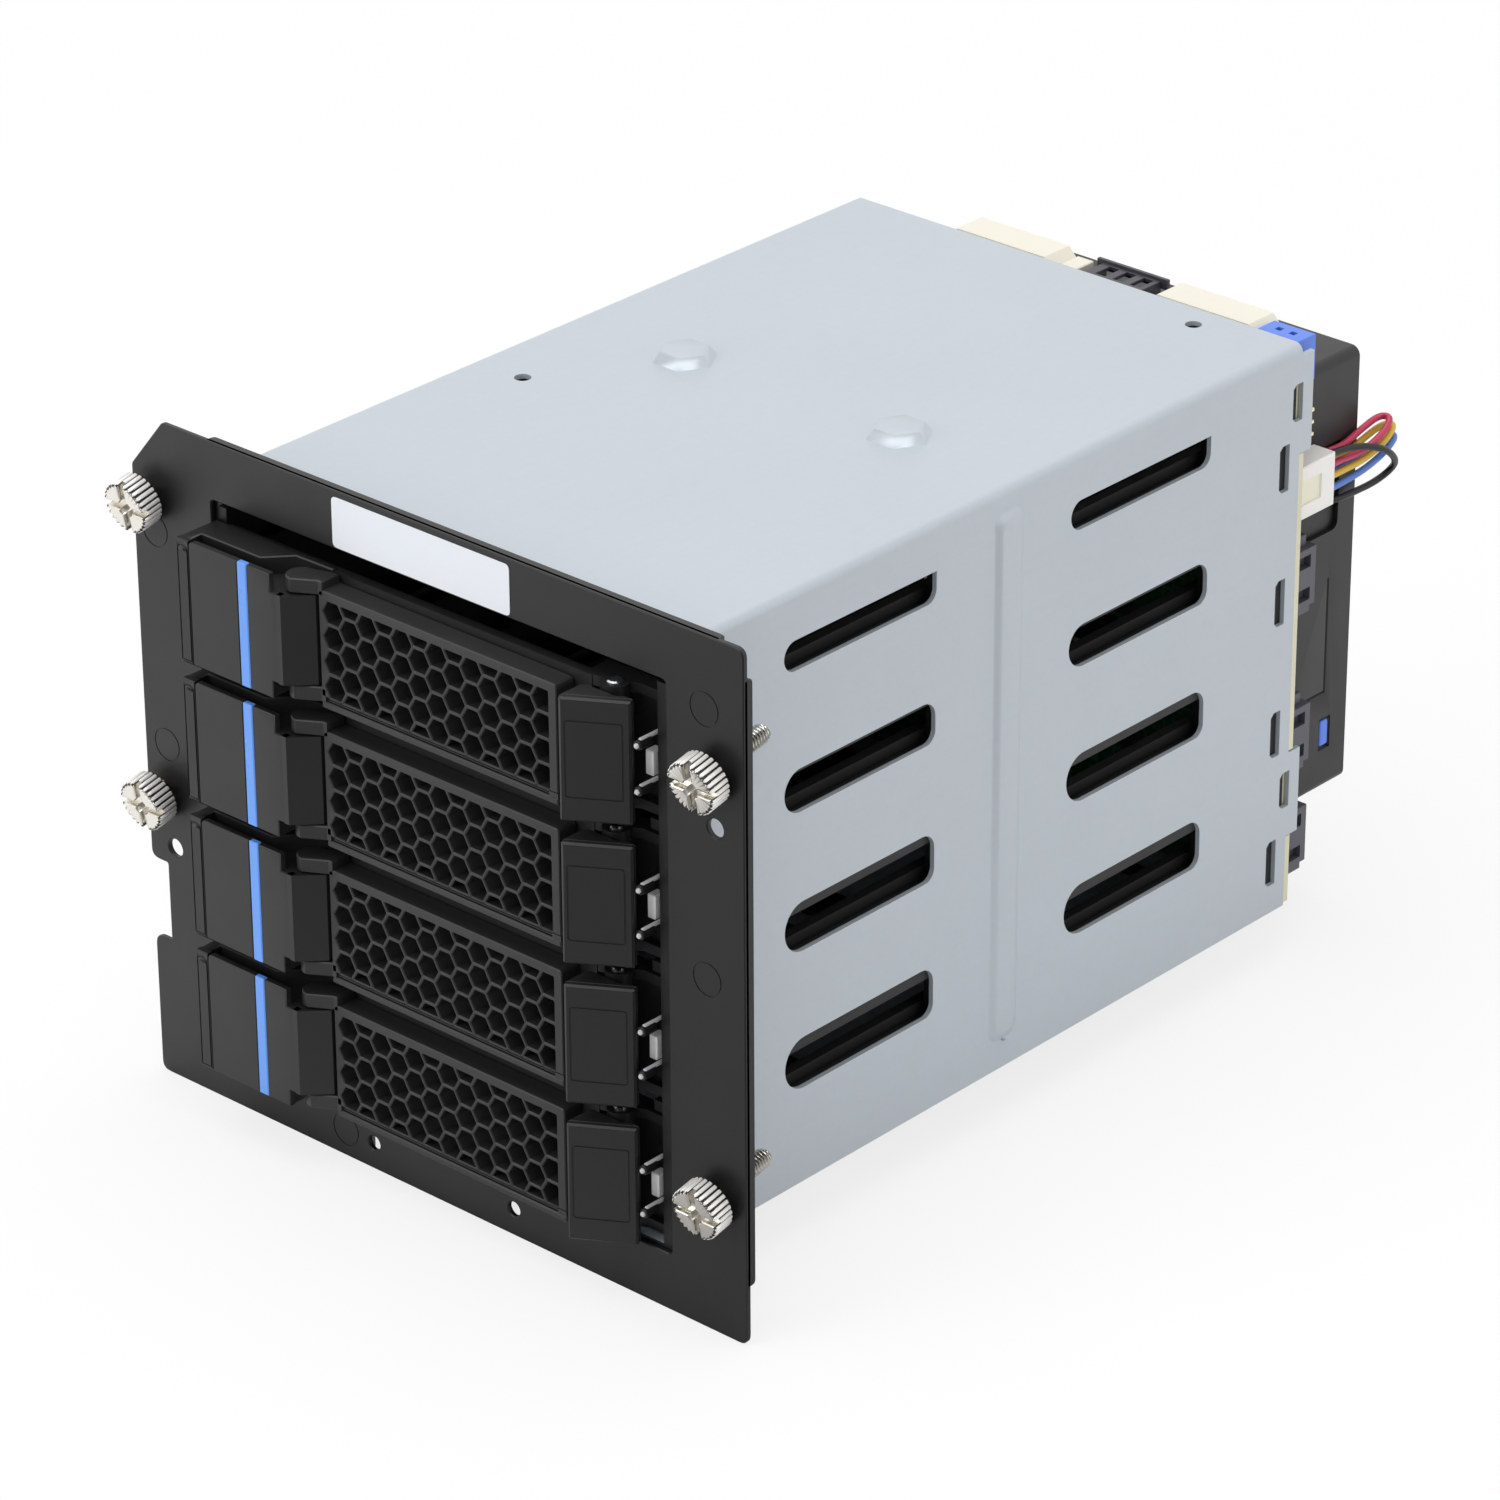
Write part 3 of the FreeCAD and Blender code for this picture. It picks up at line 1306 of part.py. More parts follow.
def build_fan_rotor():
    """Hub with swept blades, built round its own axis and then placed in the frame."""
    body = new_body("fan_rotor")
    back = fan_back - size.motor_gauge - size.hub_gap
    front = fan_front + size.hub_gap
    depth = back - front
    pad(body, "hub", "XZ", 0, depth, (), [(as_size(0), as_size(0), size.hub_radius)])
    round_edges(body, "hub_edge", size.hub_gap * 2,
                lambda box: box.YMax < 0.01 and box.XLength > 1)
    pad(body, "shaft", "XZ", depth, depth + size.hub_gap + size.shaft_reach, (),
        [(as_size(0), as_size(0), size.shaft_radius)])

    def section(growth):
        """A bowed blade section, along the axis and across it."""
        chord, rise, gauge = size.blade_chord, size.blade_rise, size.blade_gauge
        upper = [(-rise, -chord), (gauge, as_size(0)), (rise, chord)]
        lower = [(u - gauge, v + gauge / 2) for u, v in reversed(upper)]
        return [(depth / 2 + u * growth, v * growth) for u, v in upper + lower]

    root = draw(body, "blade_start", "YZ", size.hub_radius - size.blade_root, [section(as_size(1))])
    tip = draw(body, "blade_end", "YZ", size.blade_tip, [section(size.blade_growth)])
    blade = body.newObject("PartDesign::AdditiveLoft", "blade")
    blade.Profile = root
    blade.Sections = [tip]
    blade.Ruled = True
    body.Tip = blade
    ring = body.newObject("PartDesign::PolarPattern", "blades")
    ring.Originals = [blade]
    ring.Axis = (origin_axis(body, "Y_Axis"), [""])
    ring.Angle = 360
    ring.setExpression("Occurrences", size.blade_count.text)
    body.Tip = ring
    body.setExpression(".Placement.Base.x", fan_x.text)
    body.setExpression(".Placement.Base.y", front.text)
    body.setExpression(".Placement.Base.z", fan_z.text)
    return body


# Thumbscrews, label and leads

def build_thumbscrew(name, place):
    """Captive screw that hangs a little nose down in its hole."""
    body = new_body(name)
    head_back = -size.screw_standoff
    head_front = head_back - size.screw_head_length
    edge = size.screw_slot / 2
    head = size.screw_head_radius
    thread = size.screw_thread_radius
    sketch = draw(body, f"{name}_profile", "XY", 0, [[
        (as_size(0), head_front), (head - edge, head_front), (head, head_front + edge),
        (head, head_back), (size.screw_neck_radius, head_back),
        (size.screw_neck_radius, size.screw_thread_start), (thread, size.screw_thread_start),
        (thread, size.screw_length - edge), (thread - edge, size.screw_length),
        (as_size(0), size.screw_length),
    ]])
    turned = body.newObject("PartDesign::Revolution", f"{name}_turned")
    turned.Profile = sketch
    turned.ReferenceAxis = (origin_axis(body, "Y_Axis"), [""])
    turned.Angle = 360
    body.Tip = turned
    slot = size.screw_slot / 2
    reach = size.screw_slot_reach
    depth = head_front + size.screw_slot
    pocket(body, f"{name}_slot", "XZ", head_front - OVERCUT, depth,
           [rectangle(-reach, reach, -slot, slot)])
    pocket(body, f"{name}_cross", "XZ", head_front - OVERCUT, depth,
           [rectangle(-slot, slot, -reach, reach)])
    body.Placement.Rotation = FreeCAD.Rotation(FreeCAD.Vector(1, 0, 0), value_of(size.screw_tilt))
    body.setExpression(".Placement.Base.x", place[0].text)
    body.setExpression(".Placement.Base.y", (plate_front / 2).text)
    body.setExpression(".Placement.Base.z", place[1].text)
    return body


def build_label():
    """Bare pale plate on the front plate's upper strip."""
    body = new_body("label")
    pad(body, "label_sheet", "XZ", plate_front - size.label_gauge, plate_front, [rectangle(
        size.label_left, size.label_right, size.label_bottom, size.label_bottom + size.label_height)])
    return body


def lead_path(name, route):
    """Straight runs joined by tangent arcs, each as large as its two runs allow."""
    points = [FreeCAD.Vector(*point) for point in route]
    edges = []
    radii = []
    start = points[0]
    for before, corner, after in zip(points, points[1:], points[2:]):
        run_in, run_out = corner - before, after - corner
        shorter = min(run_in.Length, run_out.Length)
        turn = run_in.getAngle(run_out)
        radius = 0.45 * shorter / math.tan(turn / 2)
        radii.append(radius)
        reach = 0.45 * shorter
        toward, away = FreeCAD.Vector(run_in), FreeCAD.Vector(run_out)
        toward.normalize()
        away.normalize()
        arc_start, arc_end = corner - toward * reach, corner + away * reach
        inward = away - toward
        inward.normalize()
        middle = corner + inward * (radius / math.cos(turn / 2) - radius)
        edges.append(Part.LineSegment(start, arc_start).toShape())
        edges.append(Part.Arc(arc_start, middle, arc_end).toShape())
        start = arc_end
    edges.append(Part.LineSegment(start, points[-1]).toShape())
    print(name, "arc radii", " ".join(f"{radius:.1f}" for radius in radii))
    return Part.Wire(edges)


def build_lead(name, route):
    """One lead of the fan, from its plug back into the duct."""
    path = lead_path(name, route)
    radius = value_of(size.wire_diameter) / 2
    start = path.Edges[0]
    normal = start.tangentAt(start.FirstParameter)
    ring = Part.Wire([Part.Circle(FreeCAD.Vector(*route[0]), normal, radius).toShape()])
    tube = path.makePipeShell([ring], True, False)
    expected = math.pi * radius ** 2 * path.Length
    if abs(tube.Volume - expected) > 0.02 * expected:
        raise RuntimeError(f"{name} has the wrong volume")
    lead = DOC.addObject("Part::Feature", name)
    lead.Label = name
    lead.Shape = tube
    return lead


def build_all():
    """Every piece of the cage, in one list."""
    pieces = [
        build_front_plate(), build_cage_shell(), build_cage_floor(),
        build_guide("guide_left", cage_left + size.sheet_gauge,
                    cage_left + size.sheet_gauge + size.guide_gauge,
                    cage_left + size.sheet_gauge + size.guide_gauge + size.ledge_reach),
        build_guide("guide_right", cage_right - size.sheet_gauge,
                    cage_right - size.sheet_gauge - size.guide_gauge,
                    cage_right - size.sheet_gauge - size.guide_gauge - size.ledge_reach),
        build_backplane(), build_drive_connectors(), build_power_connectors(),
        build_signal_connector(), build_jumper_block(), build_blue_header(), build_pin_header(),
        build_data_connectors(), build_fan_plug(), build_fan_duct(), build_duct_insert(),
        build_fan_frame(), build_fan_rotor(), build_label(),
    ]
    for number, place in enumerate(screw_places(), start=1):
        pieces.append(build_thumbscrew(f"thumbscrew_{number}", place))
    for name, route in WIRES.items():
        pieces.append(build_lead(name, route))
    tray_pieces = [build_tray(), build_stripe(), build_lever(), build_latch(), build_latch_pin(),
                   build_latch_spring(), build_light_pipes(), build_catch()]
    pieces += tray_pieces
    DOC.recompute()
    for index in trays[1:]:
        for source in tray_pieces:
            pieces.append(repeat(source, source.Label[:-1] + str(index + 1), index))
    return pieces


def check_and_write(pieces):
    """Stops if anything failed, then writes one file for each piece."""
    DOC.recompute()
    for item in DOC.Objects:
        if "Invalid" in item.State or "Error" in item.State:
            raise RuntimeError(f"{item.Name} is {item.State}")
    for piece in pieces:
        if piece.Shape.isNull() or not piece.Shape.isValid():
            raise RuntimeError(f"{piece.Label} has no valid shape")
    os.makedirs(OUTPUT, exist_ok=True)
    for piece in pieces:
        piece.Shape.exportStep(os.path.join(OUTPUT, f"{piece.Label}.step"))
    print(len(pieces), "pieces written")


check_and_write(build_all())
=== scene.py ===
"""Looks of the hot swap drive cage: its finishes, fine detail, fan leads, studio and camera."""
import logging
import math
from dataclasses import dataclass, field
from enum import Enum
from typing import Callable, Iterable, Sequence, Union

import bmesh
import bpy
from mathutils import Matrix, Vector


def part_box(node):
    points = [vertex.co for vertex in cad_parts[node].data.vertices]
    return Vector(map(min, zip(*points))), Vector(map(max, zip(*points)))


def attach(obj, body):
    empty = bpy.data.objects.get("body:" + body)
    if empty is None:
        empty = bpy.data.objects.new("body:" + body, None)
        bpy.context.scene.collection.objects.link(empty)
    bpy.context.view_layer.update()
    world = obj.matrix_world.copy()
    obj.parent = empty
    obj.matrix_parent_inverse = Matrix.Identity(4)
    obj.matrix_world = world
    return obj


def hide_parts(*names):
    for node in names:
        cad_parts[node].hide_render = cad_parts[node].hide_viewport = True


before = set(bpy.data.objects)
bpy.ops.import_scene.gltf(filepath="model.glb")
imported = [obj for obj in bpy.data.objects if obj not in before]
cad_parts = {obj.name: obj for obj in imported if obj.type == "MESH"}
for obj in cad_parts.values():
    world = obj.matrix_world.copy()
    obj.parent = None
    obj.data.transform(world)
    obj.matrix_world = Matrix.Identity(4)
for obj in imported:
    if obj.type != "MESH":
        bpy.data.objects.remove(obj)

LOG = logging.getLogger("drive_cage")
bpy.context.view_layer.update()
MM = 0.001
SMOOTH = math.radians(28)
SHARP = math.radians(35)

Point = tuple[float, float]
Path = list[Point]
Place = tuple[float, float, float]
Colour = tuple[float, float, float]
Ring = list[bmesh.types.BMVert]


# Shader maths

class Channel:
    """A number that changes over a surface. Sums written with it add Math nodes."""

    def __init__(self, recipe: "Recipe", socket: bpy.types.NodeSocket) -> None:
        """Wraps one output socket of a recipe."""
        self.recipe = recipe
        self.socket = socket

    def _maths(self, operation: str, first: "Reading", second: "Reading") -> "Channel":
        """Adds one Math node.

        Args:
            operation: the node's operation.
            first: its first value.
            second: its second value.

        Returns:
            The node's result.
        """
        return self.recipe.add("ShaderNodeMath", {"operation": operation}, {0: first, 1: second})

    def __add__(self, other: "Reading") -> "Channel":
        """Sum."""
        return self._maths("ADD", self, other)

    def __radd__(self, other: float) -> "Channel":
        """Sum with a number on the left."""
        return self._maths("ADD", other, self)

    def __sub__(self, other: "Reading") -> "Channel":
        """Difference."""
        return self._maths("SUBTRACT", self, other)

    def __rsub__(self, other: float) -> "Channel":
        """Difference from a number on the left."""
        return self._maths("SUBTRACT", other, self)

    def __mul__(self, other: "Reading") -> "Channel":
        """Product."""
        return self._maths("MULTIPLY", self, other)

    def __gt__(self, edge: float) -> "Channel":
        """One where the channel is above the edge, and nought elsewhere."""
        return self._maths("GREATER_THAN", self, edge)

    def size(self) -> "Channel":
        """The channel without its sign."""
        return self._maths("ABSOLUTE", self, 0.0)

    def most(self, other: "Reading") -> "Channel":
        """The larger of the two."""
        return self._maths("MAXIMUM", self, other)

    def ramp(self, low: float, high: float) -> "Channel":
        """Nought below low, one above high, and a soft rise between them."""
        return self.recipe.add("ShaderNodeMapRange", {"interpolation_type": "SMOOTHSTEP"},
                               {0: self, 1: low, 2: high, 3: 0.0, 4: 1.0})


Reading = Union[Channel, float]


class Recipe:
    """The node tree of one material or world."""

    def __init__(self, owner: bpy.types.Material | bpy.types.World, place: str = "Object") -> None:
        """Starts an empty tree.

        Args:
            owner: the new material or world.
            place: the coordinates that its patterns lie in.
        """
        self.owner = owner
        owner.use_nodes = True
        self.tree = owner.node_tree
        self.tree.nodes.clear()
        self.place = self.add("ShaderNodeTexCoord", output=place)

    def add(self, kind: str, settings: dict[str, object] | None = None,
            inputs: dict[int | str, object] | None = None, output: int | str = 0) -> Channel:
        """Adds one node.

        Args:
            kind: the node's type.
            settings: properties, set first.
            inputs: values or links by socket.
            output: the socket to give back.

        Returns:
            The chosen output.
        """
        node = self.tree.nodes.new(kind)
        for name, value in (settings or {}).items():
            setattr(node, name, value)
        for socket, value in (inputs or {}).items():
            if isinstance(value, Channel):
                self.tree.links.new(value.socket, node.inputs[socket])
            else:
                node.inputs[socket].default_value = value
        return Channel(self, node.outputs[output])

    def noise(self, grain: float, detail: float = 2.0, stretch: Place = (1.0, 1.0, 1.0)) -> Channel:
        """A soft random pattern.

        Args:
            grain: the size of its spots, in millimetres.
            detail: how many finer layers it has.
            stretch: how far each axis is squeezed.

        Returns:
            Its height from nought to one.
        """
        where = self.add("ShaderNodeMapping", {"vector_type": "POINT"},
                         {"Vector": self.place, "Scale": stretch})
        return self.add("ShaderNodeTexNoise", {}, {
            "Vector": where, "Scale": 1.0 / (grain * MM), "Detail": detail, "Roughness": 0.55})

    def tint(self, colour: Colour, light: Channel) -> Channel:
        """The colour made lighter or darker by a channel."""
        return self.add("ShaderNodeVectorMath", {"operation": "SCALE"}, {0: colour, "Scale": light})

    def blend(self, share: Reading, first: object, second: object) -> Channel:
        """Mixes two colours by a channel."""
        return self.add("ShaderNodeMix", {"data_type": "RGBA"}, {
            0: share, 6: self.colour(first), 7: self.colour(second)}, 2)

    @staticmethod
    def colour(value: object) -> object:
        """Gives a plain colour its fourth number."""
        return value if isinstance(value, Channel) else (*value, 1.0)

    def bump(self, height: Channel, depth: float) -> Channel:
        """A surface normal from a height, with the depth in millimetres."""
        return self.add("ShaderNodeBump", {}, {"Height": height, "Strength": 1.0, "Distance": depth * MM})

    def towards(self, direction: Place) -> Channel:
        """How far the place lies in a direction."""
        return self.add("ShaderNodeVectorMath", {"operation": "DOT_PRODUCT"},
                        {0: self.place, 1: direction}, "Value")

    def ray(self, kind: str) -> Channel:
        """One for the named kind of ray."""
        return self.add("ShaderNodeLightPath", output=f"Is {kind} Ray")

    def close(self, shader: Channel, kind: str = "Material") -> None:
        """Joins a shader to the output."""
        output = self.tree.nodes.new(f"ShaderNodeOutput{kind}")
        self.tree.links.new(shader.socket, output.inputs["Surface"])


# Finishes

@dataclass(frozen=True)
class Finish:
    """A moulded, painted or plated surface with a fine grain and a slow drift of tone."""

    slot: str
    colour: Colour
    roughness: float
    variant: str = ""
    metallic: float = 0.0
    specular: float = 0.5
    coat: float = 0.0
    drift: float = 0.10
    drift_size: float = 22.0
    grain: float = 0.25
    grain_depth: float = 0.006
    haze: float = 0.08

    def light(self, recipe: Recipe) -> Channel:
        """How light each spot is, round one."""
        slow = recipe.noise(self.drift_size, 3.0)
        fine = recipe.noise(self.grain * 1.7, 1.0)
        return 1.0 + (slow - 0.5) * self.drift + (fine - 0.5) * (self.drift * 0.6)

    def height(self, recipe: Recipe) -> Channel:
        """The relief of the grain."""
        return recipe.noise(self.grain, 2.0)

    def tone(self, recipe: Recipe) -> Channel:
        """The colour over the surface."""
        return recipe.tint(self.colour, self.light(recipe))

    def gloss(self, recipe: Recipe) -> Channel:
        """The roughness over the surface."""
        return self.roughness + (recipe.noise(self.drift_size * 0.4, 4.0) - 0.5) * (self.haze * 2.0)

    def extras(self) -> dict[str, object]:
        """Values that are the same all over."""
        return {}

    def material(self) -> bpy.types.Material:
        """Makes the material, once."""
        name = self.slot + self.variant + "_finish"
        found = bpy.data.materials.get(name)
        if found is not None:
            return found
        recipe = Recipe(bpy.data.materials.new(name))
        recipe.close(recipe.add("ShaderNodeBsdfPrincipled", {}, {
            "Base Color": self.tone(recipe), "Roughness": self.gloss(recipe),
            "Metallic": self.metallic, "Specular IOR Level": self.specular,
            "Coat Weight": self.coat, "Coat Roughness": 0.12,
            "Normal": recipe.bump(self.height(recipe), self.grain_depth), **self.extras()}))
        return recipe.owner


@dataclass(frozen=True)
class ZincFinish(Finish):
    """Plated sheet steel: fine rolling lines, a soft spangle and a few rubbed streaks."""

    rolling: float = 0.55

    def light(self, recipe: Recipe) -> Channel:
        """Spangle and streaks on the slow drift."""
        slow = recipe.noise(self.drift_size, 3.0)
        spangle = recipe.noise(1.3, 3.0)
        rolled = recipe.noise(self.rolling, 2.0, (1.0, 0.03, 1.0))
        return 1.0 + (slow - 0.5) * self.drift + (spangle - 0.5) * 0.05 + (rolled - 0.5) * 0.035

    def height(self, recipe: Recipe) -> Channel:
        """Rolling lines along the sheet, over the grain."""
        rolled = recipe.noise(self.rolling * 0.6, 2.0, (1.0, 0.04, 1.0))
        return recipe.noise(self.grain, 2.0) * 0.5 + rolled * 0.5


@dataclass(frozen=True)
class BoardFinish(Finish):
    """Circuit board: green mask with traces on its faces and bare glass fibre on its edges."""

    edge: Colour = (0.74, 0.70, 0.50)
    trace: Colour = (0.045, 0.16, 0.075)
    cells: float = 260.0

    def faces(self, recipe: Recipe) -> Channel:
        """One on the two broad faces, and nought on the edges."""
        normal = recipe.add("ShaderNodeTexCoord", output="Normal")
        back = recipe.add("ShaderNodeSeparateXYZ", {}, {0: normal}, 1)
        return back.size() > 0.5

    def traces(self, recipe: Recipe) -> Channel:
        """One on the copper lines that show through the mask."""
        where = recipe.add("ShaderNodeMapping", {}, {"Vector": recipe.place, "Scale": (self.cells,) * 3})
        columns = recipe.add("ShaderNodeTexVoronoi", {"distance": "CHEBYCHEV", "feature": "F1"},
                             {"Vector": where, "Scale": 1.0})
        return columns.ramp(0.28, 0.30) * (1.0 - columns.ramp(0.36, 0.38))

    def tone(self, recipe: Recipe) -> Channel:
        """Mask, traces and edge."""
        light = self.light(recipe)
        mask = recipe.blend(self.traces(recipe), recipe.tint(self.colour, light), self.trace)
        return recipe.blend(self.faces(recipe), recipe.tint(self.edge, light), mask)


@dataclass(frozen=True)
class ClearFinish(Finish):
    """Clear moulded plastic of the light pipes, a little cloudy."""

    def extras(self) -> dict[str, object]:
        """Lets part of the light through."""
        return {"Transmission Weight": 0.35, "IOR": 1.49}


@dataclass(frozen=True)
class PaperFinish(Finish):
    """Smooth label paper with its fibres and a faint curl of tone."""

    def height(self, recipe: Recipe) -> Channel:
        """Fibres that lie along the label."""
        return recipe.noise(0.5, 4.0, (0.3, 1.0, 1.0))


PLATE = Finish("front_plate", (0.011, 0.011, 0.0115), 0.40, grain=0.55, grain_depth=0.012, drift=0.16)
ZINC = ZincFinish("zinc_sheet", (0.515, 0.560, 0.605), 0.42, metallic=0.30, grain=0.35, grain_depth=0.004,
                  drift=0.05, drift_size=45.0)
GUIDE = Finish("guide_plastic", (0.005, 0.005, 0.005), 0.45)
TRAY = Finish("tray_plastic", (0.0135, 0.0135, 0.014), 0.44, grain=0.28, grain_depth=0.012)
STRIPE = Finish("stripe_blue", (0.125, 0.335, 0.90), 0.30, coat=0.3, drift=0.05, grain_depth=0.002)
LEVER = Finish("lever_plastic", (0.024, 0.024, 0.0245), 0.42, grain=0.26, grain_depth=0.010)
LATCH = Finish("latch_plastic", (0.0175, 0.0175, 0.018), 0.46, grain=0.26, grain_depth=0.012)
STEEL = Finish("pin_steel", (0.72, 0.72, 0.74), 0.20, metallic=1.0, drift=0.04, grain_depth=0.001)
SPRING = Finish("spring_steel", (0.78, 0.78, 0.79), 0.24, metallic=1.0, drift=0.05, grain_depth=0.001)
# A pale, non-metallic copy of spring steel: painted light on the catch, which sits in the plate's shadow.
CATCH_LIT = Finish("spring_steel", (0.95, 0.95, 0.955), 0.34, "_painted_light", drift=0.05, grain_depth=0.001)
PIPE = ClearFinish("pipe_clear", (0.86, 0.88, 0.90), 0.12, drift=0.03, grain_depth=0.001)
NICKEL = Finish("screw_nickel", (0.80, 0.77, 0.71), 0.20, metallic=1.0, drift=0.08, drift_size=3.0,
                grain=0.18, grain_depth=0.003)
# Dark copy of the nickel: painted shade for the bottoms of the knurl's grooves.
GROOVE_SHADE = Finish("screw_nickel", (0.07, 0.066, 0.06), 0.38, "_painted_groove_shade", metallic=0.6, drift_size=3.0)
# Near-white copy of the nickel: painted highlight for the ribs of the knurl.
RIB_HIGHLIGHT = Finish("screw_nickel", (0.96, 0.95, 0.92), 0.30, "_painted_rib_highlight", metallic=0.1, drift_size=3.0,
             grain_depth=0.002)
BOARD = BoardFinish("board_green", (0.018, 0.085, 0.036), 0.34, grain=0.5, grain_depth=0.004)
SOCKET = Finish("connector_black", (0.009, 0.009, 0.010), 0.36)
CREAM = Finish("connector_cream", (0.80, 0.765, 0.66), 0.40, drift=0.05, grain_depth=0.003)
SIGNAL = Finish("connector_grey", (0.045, 0.045, 0.055), 0.34)
HEADER = Finish("header_blue", (0.105, 0.225, 0.78), 0.34, drift=0.06)
PINS = Finish("header_black", (0.009, 0.009, 0.010), 0.40)
DATA = Finish("data_grey", (0.085, 0.085, 0.105), 0.36)
PLUG = Finish("plug_white", (0.93, 0.905, 0.87), 0.36, drift=0.04, grain_depth=0.003)
PLUG_CORE = Finish("plug_white", (0.90, 0.87, 0.70), 0.42, "_core", drift=0.06)
DUCT = Finish("duct_plastic", (0.014, 0.014, 0.0145), 0.42, grain=0.4, grain_depth=0.012)
INSERT = Finish("insert_blue", (0.105, 0.23, 0.86), 0.38)
FAN = Finish("fan_plastic", (0.009, 0.009, 0.0095), 0.40)
LABEL = PaperFinish("label_white", (0.82, 0.86, 0.91), 0.38, coat=0.25, drift=0.03, grain_depth=0.002)
BRASS = Finish("header_black", (0.90, 0.83, 0.62), 0.28, "_pins", metallic=0.7, drift=0.05)
LEADS = {
    "black": Finish("wire_black", (0.012, 0.012, 0.0125), 0.36),
    "red": Finish("wire_red", (0.56, 0.035, 0.10), 0.36),
    "yellow": Finish("wire_yellow", (0.70, 0.47, 0.045), 0.36),
    "blue": Finish("wire_blue", (0.10, 0.21, 0.62), 0.36),
}


# Outlines

def box_path(left: float, right: float, bottom: float, top: float) -> Path:
    """The corners of an upright rectangle, anticlockwise."""
    return [(left, bottom), (right, bottom), (right, top), (left, top)]


def soften(path: Path, radii: float | Sequence[float], steps: int = 5) -> Path:
    """Rounds the corners of an outline.

    Args:
        path: an anticlockwise outline.
        radii: one radius, or one for each corner.
        steps: how many sides each round corner has.

    Returns:
        The outline with round corners.
    """
    sizes = [radii] * len(path) if isinstance(radii, (int, float)) else list(radii)
    result: Path = []
    for index, radius in enumerate(sizes):
        here = Vector(path[index])
        before = Vector(path[index - 1]) - here
        after = Vector(path[(index + 1) % len(path)]) - here
        if radius <= 0:
            result.append((here.x, here.y))
            continue
        opening = before.angle(after)
        reach = min(radius / math.tan(opening / 2), before.length * 0.49, after.length * 0.49)
        start, end = here + before.normalized() * reach, here + after.normalized() * reach
        for step in range(steps + 1):
            share = step / steps
            first = start.lerp(here, share)
            second = here.lerp(end, share)
            point = first.lerp(second, share)
            result.append((point.x, point.y))
    return result


def arc(centre: Point, radius: float, turns: Iterable[float]) -> Path:
    """The points of a circle at the given turns."""
    return [(centre[0] + radius * math.cos(turn), centre[1] + radius * math.sin(turn)) for turn in turns]


def ring_path(u: float, v: float, radius: float, steps: int = 32) -> Path:
    """A circle as an anticlockwise outline."""
    return arc((u, v), radius, [2 * math.pi * step / steps for step in range(steps)])


def inset(path: Path, distance: float) -> Path:
    """Moves every side of an anticlockwise outline inwards."""
    result: Path = []
    for index, point in enumerate(path):
        here = Vector(point)
        along = (here - Vector(path[index - 1])).normalized()
        onward = (Vector(path[(index + 1) % len(path)]) - here).normalized()
        first, second = Vector((-along.y, along.x)), Vector((-onward.y, onward.x))
        moved = here + (first + second) * (distance / max(0.3, 1 + first.dot(second)))
        result.append((moved.x, moved.y))
    return result


def trimmed(path: Path, axis: int, limit: float, side: int = 1) -> Path:
    """Keeps the part of an outline on one side of a line.

    Args:
        path: the outline.
        axis: 0 for an upright line, 1 for a level one.
        limit: where the line lies.
        side: 1 keeps what is below the limit, and -1 what is above.

    Returns:
        The part that is kept.
    """
    result: Path = []
    for index, here in enumerate(path):
        before = path[index - 1]
        was_in, is_in = side * before[axis] <= side * limit, side * here[axis] <= side * limit
        if was_in != is_in:
            share = (limit - before[axis]) / (here[axis] - before[axis])
            result.append(tuple(b + (h - b) * share for b, h in zip(before, here)))
        if is_in:
            result.append(here)
    return result


# Mesh work

@dataclass(frozen=True)
class Plane:
    """Where an outline is drawn: an origin in millimetres and two directions.

    It faces their cross product.
    """

    across: Place
    up: Place
    origin: Place = (0.0, 0.0, 0.0)

    def point(self, u: float, v: float, level: float) -> Vector:
        """A place u across, v up and level outwards, in metres."""
        across, up = Vector(self.across), Vector(self.up)
        return (Vector(self.origin) + across * u + up * v + across.cross(up) * level) * MM

    @property
    def out(self) -> Vector:
        """The way it faces."""
        return Vector(self.across).cross(Vector(self.up))


class Facing(Enum):
    """The ways that most outlines face."""

    FRONT = Plane((1, 0, 0), (0, 0, 1))
    RIGHT = Plane((0, 1, 0), (0, 0, 1))
    LEFT = Plane((0, -1, 0), (0, 0, 1))
    TOP = Plane((1, 0, 0), (0, 1, 0))


def placed(name: str, data: bpy.types.ID) -> bpy.types.Object:
    """Makes an object and puts it into the scene."""
    made = bpy.data.objects.new(name, data)
    bpy.context.scene.collection.objects.link(made)
    return made


@dataclass
class Sunk:
    """A recess in a face. With a width it is a groove along the path, and the middle stays up."""

    path: Path
    depth: float
    width: float = 0.0
    paint: int = 0


